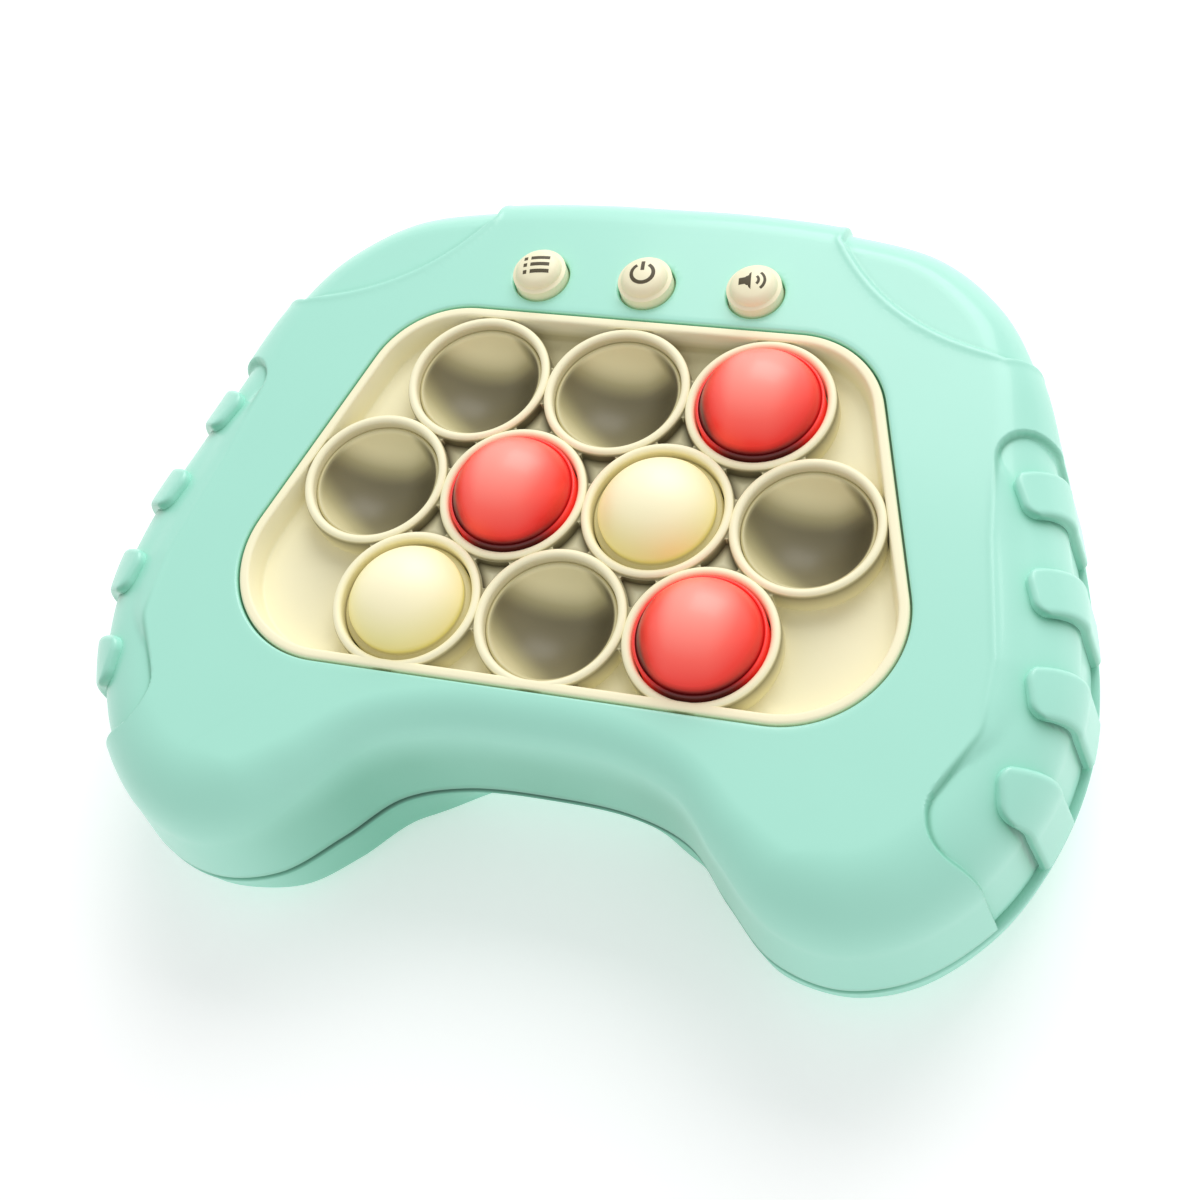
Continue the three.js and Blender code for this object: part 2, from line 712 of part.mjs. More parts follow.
function rearShell() {
  const top = seamHeight - seamGap / 2;
  let shell = backBody(0, top, { chamfer: seamChamfer })
    .subtract(backBody(-wall, seamHeight + overrun, { steps: innerArcSteps }));
  shell = shell.add(outlineBand(wall / 2, tongueInset + tongueThickness, top - tongueHeight, top))
    .add(outlineBand(
      tongueInset, tongueInset + tongueThickness, top - seamChamfer, seamHeight + tongueHeight,
    ));
  const inside = backBody(-wall / 2, seamHeight + overrun, { steps: innerArcSteps });
  const columns = caseScrewPlaces.map(([x, y]) => drum(
    x, y, columnRadius, 0, seamHeight, tinyFacets,
  ));
  shell = shell.add(joinAll(columns).intersect(inside));

  const bay = block(
    -bayHalfLength - bayWall, bayHalfLength + bayWall,
    bayCentreY - bayHalfWidth - bayWall, bayCentreY + bayHalfWidth + bayWall,
    wall / 2, bayRoofTop,
  );
  const ledge = block(
    doorLeft - doorGap - bayWall, doorRight + doorGap + bayWall,
    bayCentreY - doorHalfWidth - doorGap - bayWall, bayCentreY + doorHalfWidth + doorGap + bayWall,
    wall / 2, ledgeTop,
  );
  const doorColumn = drum(
    doorScrewX, bayCentreY, doorBossRadius + doorGap + bayWall, wall / 2, doorColumnFloor + bayWall,
    boreFacets,
  ).add(drum(doorScrewX, bayCentreY, bossRadius, ledgeTop, doorColumnFloor + doorScrewBite));
  const speakerSeat = drum(
    speakerX, speakerY, speakerRadius + seatGap + speakerSeatWall, wall / 2,
    wall + speakerSeatHeight, boreFacets,
  ).subtract(drum(
    speakerX, speakerY, speakerRadius + seatGap, wall, wall + speakerSeatHeight + overrun, boreFacets,
  ));
  shell = joinAll([shell, ledge, bay, doorColumn, speakerSeat]);

  const cuts = [
    block(
      -bayHalfLength, bayHalfLength, bayCentreY - bayHalfWidth, bayCentreY + bayHalfWidth,
      -overrun, bayRoofUnderside,
    ),
    block(
      doorLeft - doorGap, doorRight + doorGap,
      bayCentreY - doorHalfWidth - doorGap, bayCentreY + doorHalfWidth + doorGap,
      -overrun, ledgeUnderside,
    ),
    drum(doorScrewX, bayCentreY, doorBossRadius + doorGap, 0, doorColumnFloor, boreFacets),
    drum(
      doorScrewX, bayCentreY, screwRadius + doorGap, 0, doorColumnFloor + doorScrewBite + overrun,
      tinyFacets,
    ),
    ...doorTabPlaces().map((y) => block(
      doorLeft - doorTabReach - doorGap, -bayHalfLength + overrun,
      y - doorTabWidth / 2 - doorGap, y + doorTabWidth / 2 + doorGap,
      ledgeUnderside, ledgeUnderside + doorTabThickness + doorSlotHeight,
    )),
    ...caseScrewPlaces.flatMap(([x, y]) => [
      drum(x, y, screwHeadRadius + seatGap, -overrun, counterboreDepth),
      drum(x, y, screwRadius + seatGap, 0, seamHeight + overrun, tinyFacets),
    ]),
    ...grilleHoles(),
  ];
  return cuts.reduce((body, cut) => body.subtract(cut), shell);
}

// Cream silicone mat: a rim that fills the window's edge, a flange under the face, a lower floor
// and one collar round each bubble.
function bubbleMat() {
  const rimOuter = windowLoop(-matGap);
  const rimInner = outset(rimOuter, -matRimWidth);
  const rim = prism(rimOuter, matUnderside, faceHeight - matRimRound)
    .add(prism(outset(rimOuter, -matRimRound), matUnderside, faceHeight))
    .subtract(prism(rimInner, matFloorTop, faceHeight + overrun));
  const flange = prism(windowLoop(matFlangeWidth), flangeTop - matFlangeThickness, flangeTop)
    .intersect(frontBody(-wall - seatGap, seamHeight))
    .subtract(prism(rimInner, matFloorTop, flangeTop + overrun));
  const collars = Object.values(places).map(([x, y]) => turned([
    [0, matUnderside], [collarRadius, matUnderside], [collarRadius, faceHeight - crestRound],
    [collarRadius - crestRound, faceHeight], [boreRadius + crestRound, faceHeight],
    [boreRadius, faceHeight - crestRound], [0, faceHeight - crestRound],
  ], x, y, boreFacets));
  const bores = Object.values(places).map(([x, y]) => drum(
    x, y, boreRadius, matUnderside - overrun, faceHeight + overrun, boreFacets,
  ));
  const notches = buttonPlaces.map(([, x, y]) => drum(
    x, y, buttonRadius + buttonFlangeWidth + seatGap, matUnderside, flangeTop + overrun,
    buttonFacets,
  ));
  return joinAll([rim, flange.subtract(joinAll(notches)), ...collars]).subtract(joinAll(bores));
}

// A raised bubble: a domed cap with a skirt in its collar and a nub that lands on its switch. A
// dome that is set in leaves a ledge on its skirt.
function raisedBubble(x, y, rise, inset) {
  const skirtRadius = boreRadius - boreGap;
  const outerRadius = skirtRadius - inset;
  const innerRadius = outerRadius - bubbleWall;
  const skirtBottom = faceHeight - skirtDepth;
  const ledge = faceHeight - creamLedgeDrop;
  const nubBottom = plungerTop + bubbleTravel + seatGap;
  const bulge = (outerRadius ** 2 + rise ** 2) / (2 * rise);
  const centre = faceHeight + rise - bulge;
  const rim = radToDeg(Math.asin((faceHeight - centre) / bulge));
  const inner = bulge - bubbleWall;
  const innerRim = radToDeg(Math.acos(innerRadius / inner));
  const nubAngle = radToDeg(Math.acos(nubRadius / inner));
  const profile = [
    [0, nubBottom], [nubRadius, nubBottom],
    ...arcProfile(0, centre, inner, nubAngle, innerRim, underSteps),
    [innerRadius, skirtBottom], [skirtRadius, skirtBottom],
    ...(inset ? [[skirtRadius, ledge], [outerRadius, ledge]] : []),
    ...arcProfile(0, centre, bulge, rim, 90, domeSteps),
  ];
  return turned(profile, x, y);
}

// A bubble that is pushed in: a cup whose underside rests on its switch.
function pushedBubble(x, y) {
  const outerRadius = boreRadius - boreGap;
  const bowlRadius = outerRadius - cupLip;
  const rimTop = faceHeight - cupRimDrop;
  const bottom = plungerTop + seatGap;
  const depth = rimTop - bottom - bubbleWall;
  const bulge = (bowlRadius ** 2 + depth ** 2) / (2 * depth);
  const centre = bottom + bubbleWall + bulge;
  const edge = radToDeg(Math.asin((centre - rimTop) / bulge));
  const under = bulge + bubbleWall;
  const underEdge = radToDeg(Math.acos(outerRadius / under));
  const profile = [
    ...arcProfile(0, centre, under, -90, -underEdge, underSteps),
    [outerRadius, rimTop], [bowlRadius, rimTop],
    ...arcProfile(0, centre, bulge, -edge, -90, domeSteps),
  ];
  return turned(profile, x, y);
}

// A push button: a crowned cap through the face, a flange under it and a stem to its switch.
function pushButton(x, y) {
  const top = faceHeight + buttonRise;
  const stemBottom = plungerTop + buttonTravel + seatGap;
  return turned([
    [0, stemBottom], [buttonStemRadius, stemBottom],
    [buttonStemRadius, flangeTop - buttonFlangeThickness],
    [buttonRadius + buttonFlangeWidth, flangeTop - buttonFlangeThickness],
    [buttonRadius + buttonFlangeWidth, flangeTop],
    [buttonRadius, flangeTop],
    ...buttonCrownAngles.map((angle) => [
      buttonRadius * Math.cos(degToRad(angle)),
      top - buttonCrown * (1 - Math.sin(degToRad(angle))),
    ]),
    [0, top],
  ], x, y, buttonFacets);
}

// Rigid frame that presses the mat against the face and lets the bubbles through.
function clampFrame() {
  const plate = prism(windowLoop(matFlangeWidth), frameUnderside, frameTop)
    .intersect(frontBody(-wall - seatGap, seamHeight));
  const bores = Object.values(places).map(([x, y]) => drum(
    x, y, boreRadius + frameBoreGain, frameUnderside - overrun, frameTop + overrun, smallFacets,
  ));
  const posts = framePostPlaces.map(([x, y]) => drum(
    x, y, framePostRadius, boardTop + seatGap, frameTop - frameThickness / 2, tinyFacets,
  ));
  return plate.subtract(joinAll(bores)).add(joinAll(posts));
}

function mainBoard() {
  const right = boardShares.map(([x, y]) => [x * halfWidth, y * halfLength, boardCornerRadius]);
  const left = right.map(([x, y, corner]) => [-x, y, corner]).reverse();
  const holes = boardPostPlaces.map(([x, y]) => drum(
    x, y, boardPinRadius + seatGap, boardUnderside - overrun, boardTop + overrun, tinyFacets,
  ));
  return prism(roundedLoop([...right, ...left]), boardUnderside, boardTop)
    .subtract(joinAll(holes));
}

function pushSwitch(x, y) {
  const half = switchSide / 2;
  const bodyTop = switchBase + switchHeight;
  return block(x - half, x + half, y - half, y + half, switchBase, bodyTop)
    .add(drum(x, y, plungerRadius, bodyTop - overrun, plungerTop, tinyFacets));
}

function lamp(x, y) {
  return turned([
    [0, switchBase], [lampRadius, switchBase],
    [lampRadius, switchBase + lampHeight - lampRadius / 2],
    [lampRadius * Math.SQRT1_2, switchBase + lampHeight - lampRadius / 4],
    [0, switchBase + lampHeight],
  ], x, y, tinyFacets);
}

// A cell along X; side 1 points its nub towards +X and side -1 towards -X.
function batteryCell(y, side) {
  const half = cellLength / 2;
  const points = [
    [0, -half], [cellRadius, -half], [cellRadius, half], [cellNubRadius, half],
    [cellNubRadius, half + cellNubLength], [0, half + cellNubLength],
  ].map(([radius, along]) => new THREE.Vector2(radius, along - cellNubLength / 2));
  const geometry = new THREE.LatheGeometry(points, smallFacets).rotateZ(-side * Math.PI / 2);
  return solidOf(geometry.translate(0, y, cellAxisHeight));
}

// A contact plate at one end of the bay, with a spring for each cell's flat end and a bump for
// each nub.
function batteryContact(side) {
  const outer = side * (bayHalfLength - seatGap / 2);
  const inner = outer - side * contactThickness;
  const plate = block(
    Math.min(outer, inner), Math.max(outer, inner),
    bayCentreY - bayHalfWidth + seatGap, bayCentreY + bayHalfWidth - seatGap,
    cellAxisHeight - contactHeight / 2, cellAxisHeight + contactHeight / 2,
  );
  const tips = cellPlaces().map(([y, nubSide]) => {
    const tipRadius = nubSide === side ? bumpTipRadius : springTipRadius;
    const end = (cellLength + cellNubLength) / 2;
    const length = Math.abs(inner) - end - seatGap + contactThickness / 2;
    const geometry = new THREE.CylinderGeometry(
      tipRadius, springBaseRadius, length, tinyFacets,
    ).rotateZ(side * Math.PI / 2);
    const middle = side * (end + seatGap + length / 2);
    return solidOf(geometry.translate(middle, y, cellAxisHeight));
  });
  return joinAll([plate, ...tips]);
}

function cellPlaces() {
  return Array.from({ length: cellCount }, (_, i) => [
    bayCentreY + (i - (cellCount - 1) / 2) * cellPitch, i % 2 ? -1 : 1,
  ]);
}

function batteryDoor() {
  const plate = prism(rectangleLoop(
    doorLeft, doorRight, bayCentreY - doorHalfWidth, bayCentreY + doorHalfWidth,
  ), doorInset, doorTop);
  const tabs = doorTabPlaces().flatMap((y) => [
    block(
      doorLeft - doorTabReach, -bayHalfLength + doorTabReach,
      y - doorTabWidth / 2, y + doorTabWidth / 2,
      ledgeUnderside + seatGap, ledgeUnderside + seatGap + doorTabThickness,
    ),
    block(
      -bayHalfLength + doorGap, -bayHalfLength + doorTabReach,
      y - doorTabWidth / 2, y + doorTabWidth / 2,
      doorTop - doorThickness / 2, ledgeUnderside + seatGap + doorTabThickness,
    ),
  ]);
  const boss = drum(doorScrewX, bayCentreY, doorBossRadius, doorInset, doorBossTop, boreFacets);
  return joinAll([plate, boss, ...tabs])
    .subtract(drum(doorScrewX, bayCentreY, screwHeadRadius + seatGap, 0, doorScrewSeat))
    .subtract(drum(doorScrewX, bayCentreY, screwRadius + seatGap, 0, doorBossTop + overrun));
}

// A screw with its head down, a slot in the head and its shank upwards.
function screw(x, y, headBottom, bite) {
  const headTop = headBottom + screwHeadHeight;
  const body = turned([
    [0, headBottom], [screwHeadRadius, headBottom], [screwHeadRadius, headTop],
    [screwRadius, headTop], [screwRadius, headTop + bite - screwRadius], [0, headTop + bite],
  ], x, y, tinyFacets);
  return body.subtract(block(
    x - screwHeadRadius, x + screwHeadRadius, y - driveWidth / 2, y + driveWidth / 2,
    headBottom - overrun, headBottom + driveDepth,
  ));
}

function speaker() {
  const base = wall + seatGap;
  const magnetTop = base + speakerHeight + speakerMagnetHeight;
  return turned([
    [0, base + speakerDish], [speakerRadius / 2, base], [speakerRadius, base],
    [speakerRadius, base + speakerHeight / 2], [speakerMagnetRadius, base + speakerHeight],
    [speakerMagnetRadius, magnetTop], [0, magnetTop],
  ], speakerX, speakerY, boreFacets);
}

addPiece('front_shell', frontShell(), 'mint');
addPiece('rear_shell', rearShell(), 'mint');
addPiece('bubble_mat', bubbleMat(), 'silicone');
addPiece('mat_clamp_frame', clampFrame(), 'frame');
addPiece('main_board', mainBoard(), 'board');
for (const [place, [x, y]] of Object.entries(places)) {
  const name = `bubble_${place}`;
  const state = poppedBubbles[name];
  const rise = (state === 'cream' ? creamDomeRiseShare : domeRiseShare) * boreRadius;
  const inset = state === 'cream' ? creamDomeInset : 0;
  addPiece(name, state ? raisedBubble(x, y, rise, inset) : pushedBubble(x, y), state ?? 'olive');
  addPiece(`switch_${place}`, pushSwitch(x, y), 'dark');
  addPiece(`lamp_${place}`, lamp(x + lampOffset, y), 'lens');
}
for (const [name, x, y] of buttonPlaces) {
  addPiece(`${name}_button`, pushButton(x, y), 'button');
  addPiece(`${name}_switch`, pushSwitch(x, y), 'dark');
}
addPiece('speaker', speaker(), 'dark');
cellPlaces().forEach(([y, side], i) => {
  addPiece(`battery_cell_${i + 1}`, batteryCell(y, side), 'cell');
});
addPiece('battery_contact_left', batteryContact(-1), 'steel');
addPiece('battery_contact_right', batteryContact(1), 'steel');
addPiece('battery_door', batteryDoor(), 'mint');
addPiece('battery_door_screw', screw(
  doorScrewX, bayCentreY, doorInset, doorScrewBite,
), 'steel');
caseScrewPlaces.forEach(([x, y], i) => {
  addPiece(`case_screw_${i + 1}`, screw(
    x, y, counterboreDepth - screwHeadHeight - seatGap, screwBite + seamHeight - counterboreDepth,
  ), 'steel');
});

export default group;
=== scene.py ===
"""Looks of the handheld push bubble game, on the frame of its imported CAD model.

Sizes are in millimetres in the row frame and are turned into metres as a mesh is placed.
"""

import logging
import math
from contextlib import contextmanager
from dataclasses import dataclass
from enum import Enum
from typing import Callable, Iterator, Sequence

import bpy
import numpy as np
from mathutils import Matrix, Vector


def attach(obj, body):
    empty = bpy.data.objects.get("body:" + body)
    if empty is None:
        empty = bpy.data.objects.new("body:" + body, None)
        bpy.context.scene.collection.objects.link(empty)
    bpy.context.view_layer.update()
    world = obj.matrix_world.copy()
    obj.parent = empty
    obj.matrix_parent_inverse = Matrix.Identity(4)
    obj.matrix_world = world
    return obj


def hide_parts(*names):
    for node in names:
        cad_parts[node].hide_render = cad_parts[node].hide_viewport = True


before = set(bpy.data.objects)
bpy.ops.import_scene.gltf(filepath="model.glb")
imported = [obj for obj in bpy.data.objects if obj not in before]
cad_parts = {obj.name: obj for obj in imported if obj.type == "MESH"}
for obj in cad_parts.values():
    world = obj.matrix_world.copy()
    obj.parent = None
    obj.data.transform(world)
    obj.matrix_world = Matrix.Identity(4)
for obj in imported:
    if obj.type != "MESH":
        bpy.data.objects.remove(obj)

LOG = logging.getLogger("push_game")
MM = 0.001  # a millimetre in metres
WELD = 1e-6  # vertices closer than this, in metres, are joined
QUARTER = math.pi / 2
WHOLE = 0.999  # a mark of 1 stays above this where subdividing hasn't mixed it with 0
Array = np.ndarray
Piece = bpy.types.Object
Tree = bpy.types.NodeTree
Point = tuple[float, float]
Place = tuple[float, float, float]
Colour = tuple[int, int, int]


class BubbleState(Enum):
    """How one bubble stands in the photograph."""

    PUSHED = "olive"
    RED = "red"
    CREAM = "cream"


class Symbol(Enum):
    """What is printed on a button."""

    LIST = "menu"
    POWER = "power"
    SPEAKER = "volume"


# --- mesh tools ---


def alone(piece: Piece) -> None:
    """Selects a piece alone and makes it the active one.

    Args:
        piece: The mesh object.
    """
    bpy.ops.object.select_all(action="DESELECT")
    piece.select_set(True)
    bpy.context.view_layer.objects.active = piece


@contextmanager
def editing(piece: Piece, action: str = "DESELECT") -> Iterator[None]:
    """Opens a piece alone in edit mode and closes it afterwards.

    Args:
        piece: The mesh object.
        action: SELECT to start with all of it selected, or DESELECT.

    Returns:
        A context, at whose end the piece is closed.
    """
    alone(piece)
    bpy.ops.object.mode_set(mode="EDIT")
    bpy.ops.mesh.select_all(action=action)
    yield
    bpy.ops.object.mode_set(mode="OBJECT")
    bpy.ops.object.select_all(action="DESELECT")


def choose(piece: Piece, chosen: Sequence[bool]) -> None:
    """Selects vertices of a piece that is open in edit mode.

    Args:
        piece: The mesh object.
        chosen: Whether each vertex is selected.
    """
    bpy.ops.object.mode_set(mode="OBJECT")
    piece.data.vertices.foreach_set("select", chosen)
    bpy.ops.object.mode_set(mode="EDIT")


def named(name: str) -> Piece:
    """Names the object that an operator has just made.

    Args:
        name: The piece's name.

    Returns:
        The object.
    """
    piece = bpy.context.active_object
    piece.name = piece.data.name = name
    return piece


def at_origin(piece: Piece) -> Piece:
    """Moves a piece's transform into its mesh, so that the object sits at the origin.

    Args:
        piece: The mesh object.

    Returns:
        The same object.
    """
    piece.data.transform(piece.matrix_world)
    piece.matrix_world = Matrix.Identity(4)
    return piece


def weld(piece: Piece) -> Piece:
    """Joins vertices that meet and turns all faces outwards.

    Args:
        piece: The mesh object.

    Returns:
        The same object.
    """
    with editing(piece, "SELECT"):
        bpy.ops.mesh.remove_doubles(threshold=WELD)
        bpy.ops.mesh.normals_make_consistent(inside=False)
    return piece


def closed(piece: Piece) -> Piece:
    """Fills the holes that a piece still has.

    Args:
        piece: The mesh object.

    Returns:
        The same object.
    """
    with editing(piece):
        bpy.ops.mesh.select_non_manifold(use_multi_face=False, use_non_contiguous=False)
        bpy.ops.mesh.fill_holes(sides=0)
    return weld(piece)


def read(piece: Piece, source: object, key: str) -> Array:
    """Reads one vector for each vertex of a piece.

    Args:
        piece: The mesh object.
        source: Its vertices, or the data of one of its attributes.
        key: What is read of each.

    Returns:
        Points x 3.
    """
    flat = np.zeros(len(piece.data.vertices) * 3, np.float32)
    source.foreach_get(key, flat)
    return flat.reshape(-1, 3).astype(float)


def places_of(piece: Piece) -> Array:
    """Reads where a piece's vertices are, in mm."""
    return read(piece, piece.data.vertices, "co") / MM


def carried_by(piece: Piece, key: str) -> Array:
    """Reads the vectors that a piece's points carry under a name."""
    return read(piece, piece.data.attributes[key].data, "vector")


def put(piece: Piece, places: Array) -> None:
    """Moves a piece's vertices to places in metres."""
    piece.data.vertices.foreach_set("co", places.astype(np.float32).ravel())
    piece.data.update()


def bent_grid(name: str, rows: Array, carried: dict[str, Array] | None = None) -> Piece:
    """Adds a grid and bends it so that each of its rows lies on one row of points.

    Args:
        name: The piece's name.
        rows: Points in mm, as rows x columns x 3. Rows or columns that meet are welded.
        carried: Vectors that the points keep by name, each rows x columns x 3.

    Returns:
        The welded mesh object.
    """
    height, width = rows.shape[:2]
    bpy.ops.object.select_all(action="DESELECT")
    bpy.ops.mesh.primitive_grid_add(x_subdivisions=width - 1, y_subdivisions=height - 1, size=2.0)
    piece = at_origin(named(name))
    flat = read(piece, piece.data.vertices, "co")
    column, row = (
        np.rint((flat[:, axis] + 1) / 2 * (count - 1)).astype(int)
        for axis, count in enumerate((width, height))
    )
    put(piece, rows[row, column].astype(np.float32) * MM)
    for key, values in (carried or {}).items():
        kept = piece.data.attributes.new(key, "FLOAT_VECTOR", "POINT")
        kept.data.foreach_set("vector", values[row, column].astype(np.float32).ravel())
    return weld(piece)


def spun(name: str, profile: Sequence[Point], centre: Point, steps: int = 96) -> Piece:
    """Spins a profile about an upright axis.

    Args:
        name: The piece's name.
        profile: Radius and height pairs in mm, from one end of the axis round to the other.
        centre: Where the axis stands, in mm.
        steps: Facets round the axis.

    Returns:
        The welded mesh object.
    """
    bpy.ops.object.select_all(action="DESELECT")
    bpy.ops.mesh.primitive_grid_add(x_subdivisions=len(profile) - 1, y_subdivisions=1, size=2.0)
    piece = at_origin(named(name))
    spare = []
    for vertex in piece.data.vertices:
        spare.append(vertex.co.y >= 0)
        radius, height = profile[round((vertex.co.x + 1) / 2 * (len(profile) - 1))]
        vertex.co = ((centre[0] + radius) * MM, centre[1] * MM, height * MM)
    with editing(piece):
        choose(piece, spare)
        bpy.ops.mesh.delete(type="VERT")
        bpy.ops.mesh.select_all(action="SELECT")
        bpy.ops.mesh.spin(
            steps=steps, angle=4 * QUARTER, center=(centre[0] * MM, centre[1] * MM, 0),
            axis=(0, 0, 1),
        )
    return weld(piece)


def joined(name: str, pieces: Sequence[Piece]) -> Piece:
    """Joins meshes into one object.

    Args:
        name: The name of the result.
        pieces: The mesh objects.

    Returns:
        The joined object.
    """
    alone(pieces[0])
    for piece in pieces[1:]:
        piece.select_set(True)
    if len(pieces) > 1:
        bpy.ops.object.join()
    result = named(name)
    result.select_set(False)
    return result


def combined(piece: Piece, others: Sequence[Piece], operation: str) -> Piece:
    """Cuts other bodies out of a piece, or joins them to it, and removes them.

    Args:
        piece: The mesh object that is kept.
        others: The bodies that it is combined with, which don't touch each other.
        operation: DIFFERENCE or UNION.

    Returns:
        The same object.
    """
    tool = joined(f"{piece.name}_tool", others)
    alone(piece)
    modifier = piece.modifiers.new("Boolean", "BOOLEAN")
    modifier.object, modifier.operation, modifier.solver = tool, operation, "MANIFOLD"
    bpy.ops.object.modifier_apply(modifier=modifier.name)
    piece.select_set(False)
    bpy.data.objects.remove(tool, do_unlink=True)
    return piece


def smooth(piece: Piece, degrees: float = 32) -> Piece:
    """Shades a piece smooth except over sharp edges.

    Args:
        piece: The mesh object.
        degrees: The largest angle between faces that is shaded smooth.

    Returns:
        The same object.
    """
    alone(piece)
    bpy.ops.object.shade_smooth_by_angle(angle=math.radians(degrees))
    piece.select_set(False)
    return piece
# Painted shade on the case, less the painted shadows of the lugs.


def box_piece(name: str, low: Place, high: Place, bevel: float = 0) -> Piece:
    """Adds a box between two corners and bevels its edges.

    Args:
        name: The piece's name.
        low: Lowest corner in mm.
        high: Highest corner in mm.
        bevel: Width of the bevel in mm.

    Returns:
        The mesh object.
    """
    centre = [(a + b) / 2 * MM for a, b in zip(low, high)]
    size = [(b - a) * MM for a, b in zip(low, high)]
    bpy.ops.object.select_all(action="DESELECT")
    bpy.ops.mesh.primitive_cube_add(size=1, location=centre, scale=size)
    piece = at_origin(named(name))
    if bevel:
        with editing(piece, "SELECT"):
            bpy.ops.mesh.bevel(offset=bevel * MM, segments=3, affect="EDGES")
    return piece


def boxed(
    piece: Piece, operation: str, name: str, low: Place, high: Place, bevel: float = 0
) -> None:
    """Joins a box to a piece, or cuts it out of the piece; see combined and box_piece."""
    combined(piece, [box_piece(name, low, high, bevel)], operation)


# --- plan tools ---


def arc(centre: Point, radius: float, start: float, end: float, steps: int) -> list[Point]:
    """Points along an arc between two angles in degrees, with both ends."""
    angles = np.radians(np.linspace(start, end, steps + 1))
    return [(centre[0] + radius * math.cos(a), centre[1] + radius * math.sin(a)) for a in angles]


def bearing(origin: Point | Array, target: Point | Array) -> float:
    """Direction from one place to another, in degrees."""
    return math.degrees(math.atan2(target[1] - origin[1], target[0] - origin[0]))


def straight(start: Point, end: Point) -> list[Point]:
    """Nine points along a straight line."""
    return [tuple(point) for point in np.linspace(start, end, 9)]


def smoothstep(value: Array, low: Array | float, high: Array | float) -> Array:
    """A soft step from 0 at low to 1 at high."""
    share = np.clip((np.asarray(value, float) - low) / (high - low), 0, 1)
    return share * share * (3 - 2 * share)


def bell(value: Array, middle: float, width: float) -> Array:
    """A soft hump of height 1 at the middle, which falls off over the width."""
    return np.exp(-(((value - middle) / width) ** 2))


def looped(rows: Sequence[Array]) -> Array:
    """Rows of points as one grid whose last column is its first again."""
    grid = np.array(rows)
    return np.concatenate([grid, grid[:, :1]], 1)


def level(plan: Array, height: Array | float) -> Array:
    """Plan points with their height, as points x 3."""
    return np.column_stack([plan, np.broadcast_to(height, len(plan))])


def unit(vectors: Array) -> Array:
    """Vectors, one in each row, brought to a length of one."""
    return vectors / np.linalg.norm(vectors, axis=1, keepdims=True)


def outwards_of(loop: Array) -> Array:
    """The outward unit vector at each point of a counterclockwise closed loop."""
    step = np.roll(loop, -1, 0) - np.roll(loop, 1, 0)
    return unit(np.stack([step[:, 1], -step[:, 0]], 1))


def inset_ring(outline: Array, inset: Array | float, height: Array | float) -> Array:
    """A ring at a height, set in from a closed outline, or out where the inset is negative."""
    steps = outwards_of(outline) * np.broadcast_to(inset, len(outline))[:, None]
    return level(outline - steps, height)


def distance_inside(points: Array, loop: Array) -> Array:
    """How far inside a loop each point lies; outside the value is negative.

    Args:
        points: Points x 2.
        loop: Corners of the loop, corners x 2.

    Returns:
        One value for each point.
    """
    nearest = np.full(len(points), 1e9)
    inside = np.zeros(len(points), bool)
    for start, end in zip(loop, np.roll(loop, -1, 0)):
        edge = end - start
        share = np.clip((points - start) @ edge / max(edge @ edge, 1e-12), 0, 1)
        away = points - start - share[:, None] * edge
        nearest = np.minimum(nearest, np.hypot(away[:, 0], away[:, 1]))
        crosses = (start[1] > points[:, 1]) != (end[1] > points[:, 1])
        level = edge[0] * (points[:, 1] - start[1]) / (edge[1] if edge[1] else 1e-12) + start[0]
        inside ^= crosses & (points[:, 0] < level)
    return np.where(inside, nearest, -nearest)


def rounded_loop(corners: Sequence[tuple[float, float, float]], steps: int) -> Array:
    """A closed polygon with its corners rounded.

    Args:
        corners: Each corner as x, y and radius, counterclockwise.
        steps: Spans in each rounded corner.

    Returns:
        Points x 2.
    """
    points: list[Point] = []
    for i, (x, y, radius) in enumerate(corners):
        corner = np.array([x, y])
        if not radius:
            points.append((x, y))
            continue
        before = np.array(corners[i - 1][:2]) - corner
        after = np.array(corners[(i + 1) % len(corners)][:2]) - corner
        before, after = before / np.linalg.norm(before), after / np.linalg.norm(after)
        half = math.acos(float(np.clip(before @ after, -1, 1))) / 2
        middle = (before + after) / np.linalg.norm(before + after)
        centre = corner + middle * radius / math.sin(half)
        start = corner + before * radius / math.tan(half) - centre
        cross = after[0] * before[1] - after[1] * before[0]
        turn = (math.pi - 2 * half) * math.copysign(1, cross)
        for k in range(steps + 1):
            cos, sin = math.cos(turn * k / steps), math.sin(turn * k / steps)
            x = centre[0] + start[0] * cos - start[1] * sin
            y = centre[1] + start[0] * sin + start[1] * cos
            points.append((x, y))
    return np.array(points)


def sampled(wanted: Array | float, known: Array, values: Array) -> Array:
    """Each column of values, known at rising places, read off at the wanted places."""
    return np.stack([np.interp(wanted, known, column) for column in values.T], -1)


def evenly(loop: Array, spacing: Callable[[Array], Array] | float) -> Array:
    """Points along a closed loop at a spacing that may depend on the place.

    Args:
        loop: Dense points x 2.
        spacing: The wanted spacing, or what gives it at each point.

    Returns:
        The chosen points x 2.
    """
    whole = np.vstack([loop, loop[:1]])
    step = np.linalg.norm(np.diff(whole, axis=0), axis=1)
    gaps = spacing(loop) if callable(spacing) else spacing
    weight = np.concatenate([[0], np.cumsum(step / gaps)])
    wanted = np.linspace(0, weight[-1], int(round(weight[-1])), endpoint=False)
    return sampled(wanted, weight, whole)


# --- finishes ---


